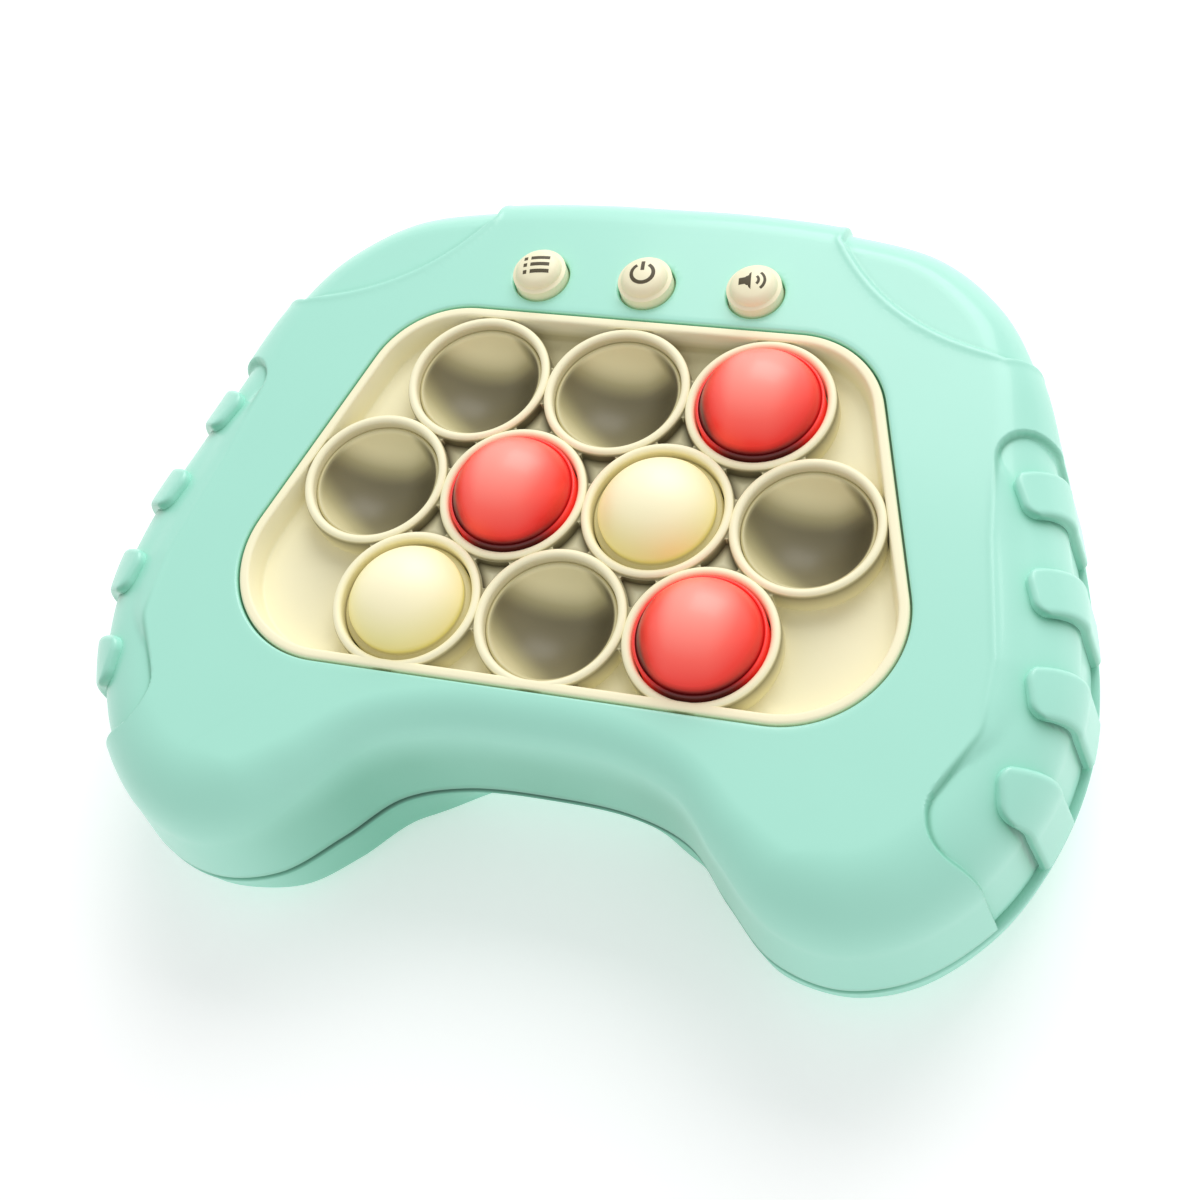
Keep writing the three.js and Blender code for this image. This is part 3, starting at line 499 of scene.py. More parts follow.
def linear(colour: Colour) -> tuple[float, float, float, float]:
    """An sRGB colour as Blender's linear one.

    Args:
        colour: Red, green and blue from 0 to 255.

    Returns:
        Linear red, green, blue and alpha.
    """
    shares = [c / 255 for c in colour]
    values = [s / 12.92 if s <= 0.04045 else ((s + 0.055) / 1.055) ** 2.4 for s in shares]
    return (*values, 1.0)


def add_node(tree: Tree, kind: str, **inputs: float) -> bpy.types.Node:
    """Adds a node and sets numbers on its inputs.

    Args:
        tree: The node tree.
        kind: The node's type.
        **inputs: Values by the input's name, with _ for a space.

    Returns:
        The node.
    """
    node = tree.nodes.new(kind)
    for key, value in inputs.items():
        node.inputs[key.replace("_", " ")].default_value = value
    return node


def multiplied(tree: Tree, colour: bpy.types.NodeSocket) -> bpy.types.Node:
    """Adds a node that multiplies a colour by its input B.

    Args:
        tree: The node tree.
        colour: The socket that carries the colour.

    Returns:
        The node.
    """
    node = tree.nodes.new("ShaderNodeMix")
    node.data_type, node.blend_type = "RGBA", "MULTIPLY"
    node.inputs["Factor"].default_value = 1
    tree.links.new(colour, node.inputs["A"])
    return node


@dataclass(frozen=True)
class Finish:
    """A moulded surface: its colour with a soft mottle, and a fine grain."""

    name: str
    colour: Colour = (255, 255, 255)
    roughness: float = 0.45
    roughness_spread: float = 0.1
    mottle: float = 0.03
    mottle_scale: float = 60
    mottle_range: Point = (0.3, 0.7)
    grain: float = 0.05
    grain_scale: float = 2200
    grain_depth: float = 0.00002
    coat: float = 0.0
    coat_roughness: float = 0.12
    metallic: float = 0.0
    specular: float = 0.5
    # Painted light: glow makes the surface give off light of its own colour times glow_tint; on the
    # studio floor it only keeps the floor evenly bright.
    glow: float = 0.0
    glow_tint: Colour = (255, 255, 255)

    def base_colour(self, tree: Tree) -> bpy.types.NodeSocket:
        """Adds the nodes that make the unmottled colour.

        Args:
            tree: The material's node tree.

        Returns:
            The socket that carries the colour.
        """
        node = tree.nodes.new("ShaderNodeRGB")
        node.outputs[0].default_value = linear(self.colour)
        return node.outputs[0]

    def material(self) -> bpy.types.Material:
        """Makes the material, or gives the one that is there.

        Returns:
            The material.
        """
        found = bpy.data.materials.get(self.name)
        if found:
            return found
        made = bpy.data.materials.new(self.name)
        made.use_nodes = True
        tree, link = made.node_tree, made.node_tree.links.new
        shader = tree.nodes["Principled BSDF"]
        place = add_node(tree, "ShaderNodeTexCoord").outputs["Object"]
        wide = add_node(tree, "ShaderNodeTexNoise", Scale=self.mottle_scale, Detail=3)
        link(place, wide.inputs["Vector"])
        low, high = self.mottle_range
        mottle = add_node(
            tree, "ShaderNodeMapRange", From_Min=low, From_Max=high, To_Min=1 - self.mottle,
            To_Max=1,
        )
        link(wide.outputs["Fac"], mottle.inputs["Value"])
        colour = multiplied(tree, self.base_colour(tree))
        link(mottle.outputs["Result"], colour.inputs["B"])
        link(colour.outputs["Result"], shader.inputs["Base Color"])
        fine = add_node(tree, "ShaderNodeTexNoise", Scale=self.grain_scale, Detail=2)
        link(place, fine.inputs["Vector"])
        bump = add_node(tree, "ShaderNodeBump", Strength=self.grain, Distance=self.grain_depth)
        link(fine.outputs["Fac"], bump.inputs["Height"])
        link(bump.outputs["Normal"], shader.inputs["Normal"])
        rough = add_node(
            tree, "ShaderNodeMapRange", To_Min=self.roughness * (1 - self.roughness_spread),
            To_Max=self.roughness * (1 + self.roughness_spread),
        )
        link(fine.outputs["Fac"], rough.inputs["Value"])
        link(rough.outputs["Result"], shader.inputs["Roughness"])
        for key, value in (
            ("Metallic", self.metallic), ("Specular IOR Level", self.specular),
            ("Coat Weight", self.coat), ("Coat Roughness", self.coat_roughness),
            ("Emission Strength", self.glow),
        ):
            shader.inputs[key].default_value = value
        # Painted light: the emission is the surface's colour times the tint.
        if self.glow:
            tinted = multiplied(tree, colour.outputs["Result"])
            tinted.inputs["B"].default_value = linear(self.glow_tint)
            link(tinted.outputs["Result"], shader.inputs["Emission Color"])
        return made

    def dress(self, piece: Piece) -> Piece:
        """Gives a piece this finish alone.

        Args:
            piece: The mesh object.

        Returns:
            The same object.
        """
        piece.data.materials.clear()
        piece.data.materials.append(self.material())
        return piece


@dataclass(frozen=True)
class ShadedFinish(Finish):
    """A finish whose colour runs through stops along the piece's own shade attribute of painted
    light and shade.
    """

    stops: tuple[tuple[float, Colour], ...] = ((0.0, (0, 0, 0)), (1.0, (255, 255, 255)))

    def base_colour(self, tree: Tree) -> bpy.types.NodeSocket:
        """Adds the colour ramp over the shade attribute.

        Args:
            tree: The material's node tree.

        Returns:
            The socket that carries the colour.
        """
        source = tree.nodes.new("ShaderNodeAttribute")
        source.attribute_name = "shade"
        ramp = tree.nodes.new("ShaderNodeValToRGB")
        elements = ramp.color_ramp.elements
        while len(elements) < len(self.stops):
            elements.new(0.5)
        for element, (place, colour) in zip(elements, self.stops):
            element.position = place
            element.color = linear(colour)
        tree.links.new(source.outputs["Fac"], ramp.inputs["Fac"])
        return ramp.outputs["Color"]


def write_shade(piece: Piece, shade: Callable[[Array], Array]) -> None:
    """Stores the painted light and shade, as the shade attribute that a ShadedFinish reads.

    Args:
        piece: The mesh object.
        shade: Gives a value from 0 to 1 for each vertex from its place in mm.
    """
    values = np.clip(shade(places_of(piece)), 0, 1)
    attribute = piece.data.attributes.new("shade", "FLOAT", "POINT")
    attribute.data.foreach_set("value", values.astype(np.float32))


# Painted light: both mint finishes glow a little green of their own, standing in for light
# that passes through the pale plastic, so that their shaded sides stay green; their stops
# run from painted shade in the creases, gaps and seam up to the lit plastic.
MINT = ShadedFinish(
    "mint_case", roughness=0.38, mottle=0.015, coat=0.3, glow=0.13, glow_tint=(158, 255, 215),
    stops=((0.0, (66, 108, 94)), (0.5, (124, 186, 165)), (1.0, (169, 224, 209))),
)
MINT_BACK = ShadedFinish(
    "mint_back", roughness=0.5, mottle=0.02, grain=0.12, glow=0.13, glow_tint=(158, 255, 215),
    stops=((0.0, (66, 108, 94)), (0.5, (124, 186, 165)), (1.0, (168, 222, 207))),
)
# Painted light and shade: the stops run from dark painted shade at the collars' feet and flanks to
# the pale lit crests, and the glow is painted light.
CREAM_MAT = ShadedFinish(
    "cream_silicone", roughness=0.5, mottle=0.02, specular=0.35, glow=0.05,
    stops=(
        (0.0, (112, 104, 74)), (0.16, (188, 180, 140)), (0.34, (226, 218, 177)),
        (0.62, (252, 246, 210)), (1.0, (255, 249, 213)),
    ),
)
# Painted light and shade: the stops run from painted shade at the dome's foot to a painted
# highlight on top; the glow stands for the lamp under the bubble and also lifts its shaded side.
RED_SILICONE = ShadedFinish(
    "red_silicone", roughness=0.4, mottle=0.01, coat=0.08, glow=0.3, glow_tint=(255, 130, 120),
    stops=(
        (0.0, (70, 4, 4)), (0.14, (196, 24, 20)), (0.34, (236, 56, 46)), (0.62, (246, 104, 92)),
        (1.0, (250, 166, 152)),
    ),
)
# Painted light and shade: the stops run from painted shade on the ledge to a painted highlight on
# top; the glow stands for the lamp under the bubble and also lifts its lower side.
CREAM_SILICONE = ShadedFinish(
    "cream_dome_silicone", roughness=0.42, mottle=0.01, glow=0.18, glow_tint=(255, 246, 190),
    stops=(
        (0.0, (196, 187, 140)), (0.12, (228, 218, 138)), (0.36, (242, 232, 172)),
        (0.62, (250, 243, 206)), (1.0, (253, 248, 226)),
    ),
)
# Painted light and shade: the stops run from painted shade inside the cup to painted light on its
# lit side and lip; the glow is painted light.
OLIVE_SILICONE = ShadedFinish(
    "olive_silicone", roughness=0.4, mottle=0.015, specular=0.4, glow=0.06,
    stops=(
        (0.0, (84, 78, 56)), (0.25, (120, 113, 84)), (0.6, (182, 174, 130)),
        (1.0, (248, 239, 190)),
    ),
)
# Painted light: the button caps glow a little.
BUTTON_CREAM = Finish("button_cream", (250, 243, 208), roughness=0.4, mottle=0.01, glow=0.04)
PRINT = Finish("printed_symbol", (84, 76, 54), roughness=0.5, specular=0.3)
WHITE_FRAME = Finish("white_frame", (230, 230, 224), roughness=0.6)
BOARD_GREEN = Finish("board_green", (47, 125, 74), roughness=0.35, mottle=0.25, mottle_scale=300)
DARK_PLASTIC = Finish("dark_plastic", (43, 43, 45), roughness=0.6, mottle=0.1)
CLEAR_LENS = Finish("lamp_lens", (242, 242, 238), roughness=0.15, coat=0.4)
ZINC = Finish("zinc_plate", (185, 188, 192), roughness=0.32, metallic=1, mottle=0.12, grain=0.2)
FLOOR_WHITE = Finish(
    "studio_floor", (250, 250, 250), roughness=0.9, mottle=0, grain=0, specular=0.1, glow=0.3
)
CELL_FILM = Finish("cell_film", (93, 106, 120), roughness=0.35, coat=0.4, mottle=0.08)


# --- case plan ---


@dataclass(frozen=True)
class CasePlan:
    """Sizes and curves that the pieces of the case share, as in the CAD source."""

    width: float = 163
    length: float = 126
    face: float = 35.5
    seam: float = 12.2
    seam_gap: float = 0.4
    wall: float = 2.4
    wall_draft: float = 1.2
    top_radius: float = 7.5
    arch_radius: float = 6
    grip_radius: float = 12
    back_radius: float = 9
    arch_back_radius: float = 3.5
    back_draft: float = 0.6
    arch_back_draft: float = 5
    grip_spacing: float = 0.5
    shoulder_spacing: float = 0.42
    plain_spacing: float = 1.2
    outline_shares: tuple[Point, ...] = (
        (0, -0.646), (0.17, -0.659), (0.293, -0.713), (0.39, -0.84), (0.497, -0.962),
        (0.62, -1), (0.748, -0.951), (0.875, -0.8), (0.957, -0.594), (0.995, -0.36),
        (0.986, -0.14), (0.944, 0.09), (0.888, 0.333), (0.822, 0.56), (0.72, 0.772),
        (0.575, 0.915), (0.376, 0.975), (0.17, 0.998), (0, 1),
    )

    @property
    def half(self) -> Array:
        """Half of the case's width and length."""
        return np.array([self.width / 2, self.length / 2])

    @property
    def front_foot(self) -> float:
        """Height of the front shell's lowest edge."""
        return self.seam + self.seam_gap / 2

    @property
    def rear_top(self) -> float:
        """Height of the rear shell's wall."""
        return self.seam - self.seam_gap / 2

    def shares_of(self, points: Array) -> tuple[Array, Array]:
        """Places as shares of the half width, without its sign, and of the half length."""
        return np.abs(points[:, 0]) / self.half[0], points[:, 1] / self.half[1]

    def dense_outline(self, per_span: int = 60) -> Array:
        """The outline at the seam as a centripetal spline through the shares.

        Args:
            per_span: Points between two shares.

        Returns:
            Points x 2 in mm, counterclockwise from the arch.
        """
        right = list(self.outline_shares)
        knots = np.array(right + [(-x, y) for x, y in reversed(right[1:-1])], float)
        share = np.linspace(0, 1, per_span, endpoint=False)[:, None]
        spans = []
        for i in range(len(knots)):
            a, b, c, d = (knots[(i + k) % len(knots)] for k in (-1, 0, 1, 2))
            first, middle, last = (
                float(np.linalg.norm(q - p)) ** 0.5 for p, q in ((a, b), (b, c), (c, d))
            )
            leave = ((b - a) / first - (c - a) / (first + middle) + (c - b) / middle) * middle
            reach = ((c - b) / middle - (d - b) / (middle + last) + (d - c) / last) * middle
            square, cube = -3 * b + 3 * c - 2 * leave - reach, 2 * b - 2 * c + leave + reach
            spans.append(b + leave * share + square * share**2 + cube * share**3)
        points = np.vstack(spans)
        low, high = points.min(0), points.max(0)
        return (points - (low + high) / 2) / (high - low) * 2 * self.half

    def spacing(self, points: Array) -> Array:
        """Fine spacing along the grips and the shoulders and coarse spacing elsewhere.

        Args:
            points: Points x 2 in mm.

        Returns:
            The spacing in mm at each point.
        """
        x, y = self.shares_of(points)
        plain = np.where((x > 0.66) & (y < 0.45), self.grip_spacing, self.plain_spacing)
        return np.where((x > 0.34) & (y > 0.42), self.shoulder_spacing, plain)

    def off_arch(self, outline: Array, arch: float, plain: float, low: float, high: float) -> Array:
        """A size with a value of its own in the arch, which changes between two width shares."""
        x, y = self.shares_of(outline)
        return np.where(y < 0, arch + (plain - arch) * smoothstep(x, low, high), plain)

    def edge_radius(self, outline: Array) -> Array:
        """The radius that rounds the wall into the face, at points x 2 in mm."""
        lower = self.off_arch(outline, self.arch_radius, self.grip_radius, 0.3, 0.62)
        return lower + (self.top_radius - lower) * smoothstep(
            self.shares_of(outline)[1], 0.15, 0.75
        )

    def back_radius_at(self, outline: Array) -> Array:
        """The radius that rounds the wall into the back, at points x 2 in mm."""
        return self.off_arch(outline, self.arch_back_radius, self.back_radius, 0.38, 0.62)

    def back_draft_at(self, outline: Array) -> Array:
        """How far the back shell's wall leans in, most under the arch, at points x 2 in mm."""
        return self.off_arch(outline, self.arch_back_draft, self.back_draft, 0.08, 0.28)

    def back_shade(self, points: Array) -> Array:
        """Painted shade on the back: darker towards the seam and under the arch.

        Args:
            points: Points x 3 in mm.

        Returns:
            Values from 0, dark, to 1, light.
        """
        grip = smoothstep(self.shares_of(points)[0], 0.66, 0.8) * (points[:, 1] < 25)
        seam = smoothstep(points[:, 2] - self.rear_top, -0.9, -0.1)
        return 1 - 0.6 * seam * (1 - 0.75 * grip) - self.arch_dark(points)

    def arch_dark(self, points: Array) -> Array:
        """How much painted shade darkens the wall under the arch.

        Args:
            points: Points x 3 in mm.

        Returns:
            Values from 0 to 1.
        """
        across, along = self.shares_of(points)
        below = smoothstep(self.face - points[:, 2], 2, 14)
        deep = 0.42 * (1 - smoothstep(across, 0.34, 0.62)) + 0.12 * (1 - smoothstep(across, 0, 0.2))
        return deep * smoothstep(-along, 0.56, 0.68) * below


@dataclass(frozen=True)
class WindowPlan:
    """The window in the front case and the buttons above it."""

    plan: CasePlan
    top_half_share: float = 0.492
    bottom_half_share: float = 0.7485
    top_share: float = 0.5635
    bottom_share: float = -0.522
    top_radius: float = 16.5
    bottom_radius: float = 18.4
    corner_steps: int = 48
    spacing: float = 0.2
    button_pitch: float = 18.6
    button_rise: float = 6.7

    @property
    def top(self) -> float:
        """Height of the window's top edge in plan."""
        return self.top_share * self.plan.half[1]

    @property
    def bottom(self) -> float:
        """Height of the window's bottom edge in plan."""
        return self.bottom_share * self.plan.half[1]

    @property
    def centre(self) -> Array:
        """Point that the loops turn about."""
        return np.array([0.0, (self.top + self.bottom) / 2])

    def button_places(self) -> dict[Symbol, Point]:
        """Each button's place in mm by its symbol."""
        height = self.top + self.button_rise
        return {symbol: ((i - 1) * self.button_pitch, height) for i, symbol in enumerate(Symbol)}

    def loop(self) -> Array:
        """The window's edge.

        Returns:
            Dense points x 2 in mm, counterclockwise.
        """
        above, below = (
            share * self.plan.half[0] for share in (self.top_half_share, self.bottom_half_share)
        )
        low, high = (self.bottom, self.bottom_radius), (self.top, self.top_radius)
        corners = [(-below, *low), (below, *low), (above, *high), (-above, *high)]
        return evenly(rounded_loop(corners, self.corner_steps), self.spacing)

    def at_angles(self, angles: Array) -> tuple[Array, Array]:
        """The window's edge seen from its centre at some angles.

        Args:
            angles: Angles in radians.

        Returns:
            The points and their outward directions, both points x 2.
        """
        loop = self.loop()
        turned = loop - self.centre
        angle = np.arctan2(turned[:, 1], turned[:, 0])
        order = np.argsort(angle)
        known = np.concatenate([angle[order] + turn * 2 * math.pi for turn in (-1, 0, 1)])
        wanted = (angles + math.pi) % (2 * math.pi) - math.pi
        values = np.tile(np.hstack([loop, outwards_of(loop)])[order], (3, 1))
        found = sampled(wanted, known, values)
        return found[:, :2], unit(found[:, 2:])


@dataclass
class Ring:
    """One ring of the front case: its points, its surface directions and its part in the form."""

    points: Array
    directions: Array
    turn: float = 0
    relief: bool = False
    bent: bool = False


@dataclass
class FrontCase:
    """Front shell: wall, rounded edge, face, window lip and inside, with its grips and facets."""

    plan: CasePlan
    window: WindowPlan
    lip: float = 0.45
    lip_depth: float = 1.2
    seam_round: float = 0.55
    wall_rings: int = 12
    edge_rings: int = 26
    face_rings: int = 19
    inner_rings: int = 4
    panel_depth: float = 1.3
    panel_fillet: float = 0.7
    side_fillet: float = 6.5
    side_shift: float = 2.4
    side_shares: tuple[float, float, float, float] = (-0.6, -0.36, 0.12, 0.3)
    panel_corner: float = 6
    fine_band: float = 0.9
    # Strength of the painted shade along the grip's creases.
    crease_shade: float = 0.55
    panel_shares: tuple[Point, ...] = (
        (0.75, 0.355), (0.78, 0.03), (0.826, -0.28), (0.826, -0.46), (0.755, -0.645),
        (0.774, -0.745), (0.92, -0.8),
    )
    ridge: float = 0.14
    ridge_width: float = 0.6
    shoulder_depth: float = 0.6
    shoulder_gain: float = 0.6
    shoulder_fillet: float = 0.7
    shoulder_ridge: float = 0.13
    shoulder_sag: float = 4.2
    shoulder_shares: tuple[Point, ...] = ((0.741, 0.546), (0.3755, 0.8635))
    button_hole: float = 4.85
    hole_flare: float = 0.4
    hole_margin: float = 1

    def __post_init__(self) -> None:
        """Lays out the outline at the seam with its outward directions and edge radii."""
        self.outline = evenly(self.plan.dense_outline(), self.plan.spacing)
        self.outwards = outwards_of(self.outline)
        self.radius = self.plan.edge_radius(self.outline)

    def panel_loop(self) -> Array:
        """Plan of the right grip's recess, open towards the outside.

        Returns:
            Points x 2 in mm.
        """
        reach = self.plan.width
        corners = [(*(share * self.plan.half), self.panel_corner) for share in self.panel_shares]
        (_, top, _), (x, y, _) = corners[0], corners[-1]
        corners[-1] = (x, y, 0)
        return rounded_loop([*corners, (reach, y - (reach - x), 0), (reach, top, 0)], 8)

    def shoulder_loop(self) -> Array:
        """Plan of the right shoulder facet: an arc across the corner, open outwards.

        Returns:
            Points x 2 in mm.
        """
        start, end = (np.array(share) * self.plan.half for share in self.shoulder_shares)
        chord = end - start
        inwards = np.array([-chord[1], chord[0]]) / np.linalg.norm(chord)
        along = np.linspace(0, 1, 25)
        sag = 4 * along * (1 - along) * self.shoulder_sag
        bow = start + along[:, None] * chord + sag[:, None] * inwards
        width, length, low = self.plan.width, self.plan.length, start[1] + self.plan.wall
        beyond = [(end[0], length), (width, length), (width, low)]
        return np.vstack([bow, beyond, [start[0] + self.plan.top_radius, low]])

    def edges(self, points: Array) -> tuple[Array, Array, Array]:
        """Where some places lie against the edges of the grip's recess and of the facet.

        Args:
            points: Plan of the surface, points x 2 in mm.

        Returns:
            How far inside the recess and inside the facet each lies, and how far it belongs to
            the recess's long soft side, from 0 to 1.
        """
        folded = np.stack([np.abs(points[:, 0]), points[:, 1]], 1)
        height = points[:, 1] / self.plan.half[1]
        low, low_end, high, high_end = self.side_shares
        side = smoothstep(height, low, low_end) * (1 - smoothstep(height, high, high_end))
        loops = (self.panel_loop(), self.shoulder_loop())
        return (*(distance_inside(folded, loop) for loop in loops), side)

    def relief(self, points: Array, turn: Array) -> Array:
        """How far the surface stands out at some places.

        Args:
            points: Plan of the surface, points x 2 in mm.
            turn: Angle of the surface's direction above level, in radians.

        Returns:
            The rise in mm, negative in a recess.
        """
        inside, facet, side = self.edges(points)
        half = (self.panel_fillet + (self.side_fillet - self.panel_fillet) * side) / 2
        rise = -self.panel_depth * smoothstep(inside - self.side_shift * side, -half, half)
        rise += self.ridge * bell(inside, 0, self.ridge_width) * side * np.sin(turn)
        depth = self.shoulder_depth + self.shoulder_gain * np.sin(2 * turn)
        half = self.shoulder_fillet / 2
        rise -= depth * smoothstep(facet, -half, half)
        bead = bell(facet, -self.shoulder_fillet, self.ridge_width)
        return rise + self.shoulder_ridge * bead * (points[:, 1] > 0)

    def shade(self, points: Array) -> Array:
        """Painted shade on the case: darker in the creases, at the seam and in the gaps.

        Args:
            points: Points x 3 in mm.

        Returns:
            Values from 0, dark, to 1, light.
        """
        inside, facet, side = self.edges(points[:, :2])
        # Painted shade in the grip's creases, along the facet's edge, under the arch and at the
        # seam.
        dark = self.crease_shade * bell(inside, 0.2, 0.4) * (1 - side)
        dark += 0.2 * self.crease_shade * bell(facet, 0.5, 0.5) * (points[:, 1] > 0)
        dark += self.plan.arch_dark(points)
        dark += 0.6 * (1 - smoothstep(points[:, 2] - self.plan.front_foot, 0.1, 0.9))
        # Painted shade down into the window's gap and the button holes.
        below = smoothstep(self.plan.face - points[:, 2], 0.25, 0.8)
        gap = smoothstep(distance_inside(points[:, :2], self.window.loop()[::10]), -0.5, -0.1)
        for place in self.window.button_places().values():
            reach = np.hypot(points[:, 0] - place[0], points[:, 1] - place[1]) - self.button_hole
            gap = np.maximum(gap, 1 - smoothstep(reach, 0.1, 0.5))
        return 1 - dark - 0.85 * gap * below

    def outer_rings(self) -> list[Ring]:
        """Rings of the outer surface from the seam up to the end of the rounded edge.

        Returns:
            The rings.
        """
        flat = level(self.outwards, 0)
        foot, top = self.plan.front_foot + self.seam_round, self.plan.face - self.radius
        rings = [
            self.ring(inset, height, flat, 0, True)
            for inset, height in arc((self.seam_round, foot), self.seam_round, -90, -180, 3)[:-1]
        ]
        for share in np.linspace(0, 1, self.wall_rings, endpoint=False):
            inset, height = self.plan.wall_draft * share, foot + (top - foot) * share
            rings.append(self.ring(inset, height, flat, 0, True))
        for turn in np.linspace(0, QUARTER, self.edge_rings + 1):
            inset = self.plan.wall_draft + self.radius * (1 - math.cos(turn))
            height = top + self.radius * math.sin(turn)
            direction = level(self.outwards * math.cos(turn), math.sin(turn))
            rings.append(self.ring(inset, height, direction, turn, True, True))
        return rings

    def ring(self, inset: Array | float, height: Array | float, *form: object) -> Ring:
        """A ring set in from the outline, with what Ring takes after its points."""
        return Ring(inset_ring(self.outline, inset, height), *form)

    def carve(self, shell: Piece) -> Piece:
        """Refines the shell along the edges of its recesses and presses them in.

        Args:
            shell: The plain shell, whose points carry their directions and settings.

        Returns:
            The same object.
        """
        inside, facet, _ = self.edges(places_of(shell)[:, :2])
        near = np.minimum(np.abs(inside), np.abs(facet)) < self.fine_band
        outer = carried_by(shell, "setting")[:, 2] > WHOLE
        chosen = np.zeros(len(near), bool)
        for face in shell.data.polygons:
            corners = list(face.vertices)
            if near[corners].any() and outer[corners].all():
                chosen[corners] = True
        with editing(shell):
            choose(shell, chosen)
            bpy.ops.mesh.subdivide(number_cuts=2)
        places = places_of(shell)
        direction, centre = unit(carried_by(shell, "direction")), carried_by(shell, "centre")
        turn, bent, outer = carried_by(shell, "setting").T
        bent, outer = bent > WHOLE, outer > WHOLE
        middle = level(centre[:, :2], self.plan.face - centre[:, 2])
        places[bent] = (middle + centre[:, 2:] * direction)[bent]
        places += direction * (self.relief(places[:, :2], turn) * outer)[:, None]
        top = self.plan.face + np.where(outer, self.ridge, 0)
        places[:, 2] = np.minimum(places[:, 2], top)
        put(shell, places * MM)
        return shell

    def build(self) -> Piece:
        """Builds the shell.

        Returns:
            The mesh object.
        """
        plan, rings = self.plan, self.outer_rings()
        edge = rings[-1].points[:, :2]
        upward = np.tile([0.0, 0.0, 1.0], (len(edge), 1))
        turned = edge - self.window.centre
        lip, outwards = self.window.at_angles(np.arctan2(turned[:, 1], turned[:, 0]))
        brink, under = lip + outwards * self.lip, plan.face - plan.wall
        for share in np.linspace(0, 1, self.face_rings + 1)[1:]:
            points = level(edge + (brink - edge) * share, plan.face)
            rings.append(Ring(points, upward, QUARTER, True))
        rolled = arc((self.lip, plan.face - self.lip), self.lip, 90, 180, 4)[1:]
        hidden = [level(lip + outwards * outset, height) for outset, height in rolled]
        hidden += [level(lip, height) for height in (plan.face - self.lip_depth, under)]
        hidden += [level(lip + (edge - lip) * share, under) for share in (0.5, 1)]
        rings += [Ring(points, upward) for points in hidden]
        inner = self.radius - plan.wall
        for turn in np.linspace(QUARTER, 0, self.inner_rings + 1)[1:]:
            inset = plan.wall_draft + self.radius - inner * math.cos(turn)
            height = plan.face - self.radius + inner * math.sin(turn)
            rings.append(self.ring(inset, height, upward))
        rings += [self.ring(plan.wall, plan.front_foot, upward), rings[0]]
        centre = self.outline - self.outwards * (plan.wall_draft + self.radius)[:, None]
        setting = [np.tile([r.turn, r.bent, r.relief], (len(edge), 1)) for r in rings]
        carried = {
            "direction": looped([ring.directions for ring in rings]),
            "centre": looped(np.tile(level(centre, self.radius), (len(rings), 1, 1))),
            "setting": looped(np.array(setting, float)),
        }
        shape = looped([ring.points for ring in rings])
        shell = self.carve(bent_grid("front_case", shape, carried))
        profile = self.hole_profile()
        cutters = [
            spun(f"button_cutter_{i}", profile, place, 64)
            for i, place in enumerate(self.window.button_places().values())
        ]
        return smooth(combined(shell, cutters, "DIFFERENCE"), 40)

    def hole_profile(self) -> list[Point]:
        """Profile of a cutter for one button hole, flared at the face.

        Returns:
            Radius and height pairs in mm.
        """
        hole, wide = self.button_hole, self.button_hole + self.hole_flare
        low = self.plan.face - self.plan.wall - self.hole_margin
        high = self.plan.face + self.hole_margin
        rim = arc((wide, self.plan.face - self.hole_flare), self.hole_flare, 180, 90, 4)
        return [(0, low), (hole, low), *rim, (wide, high), (0, high)]


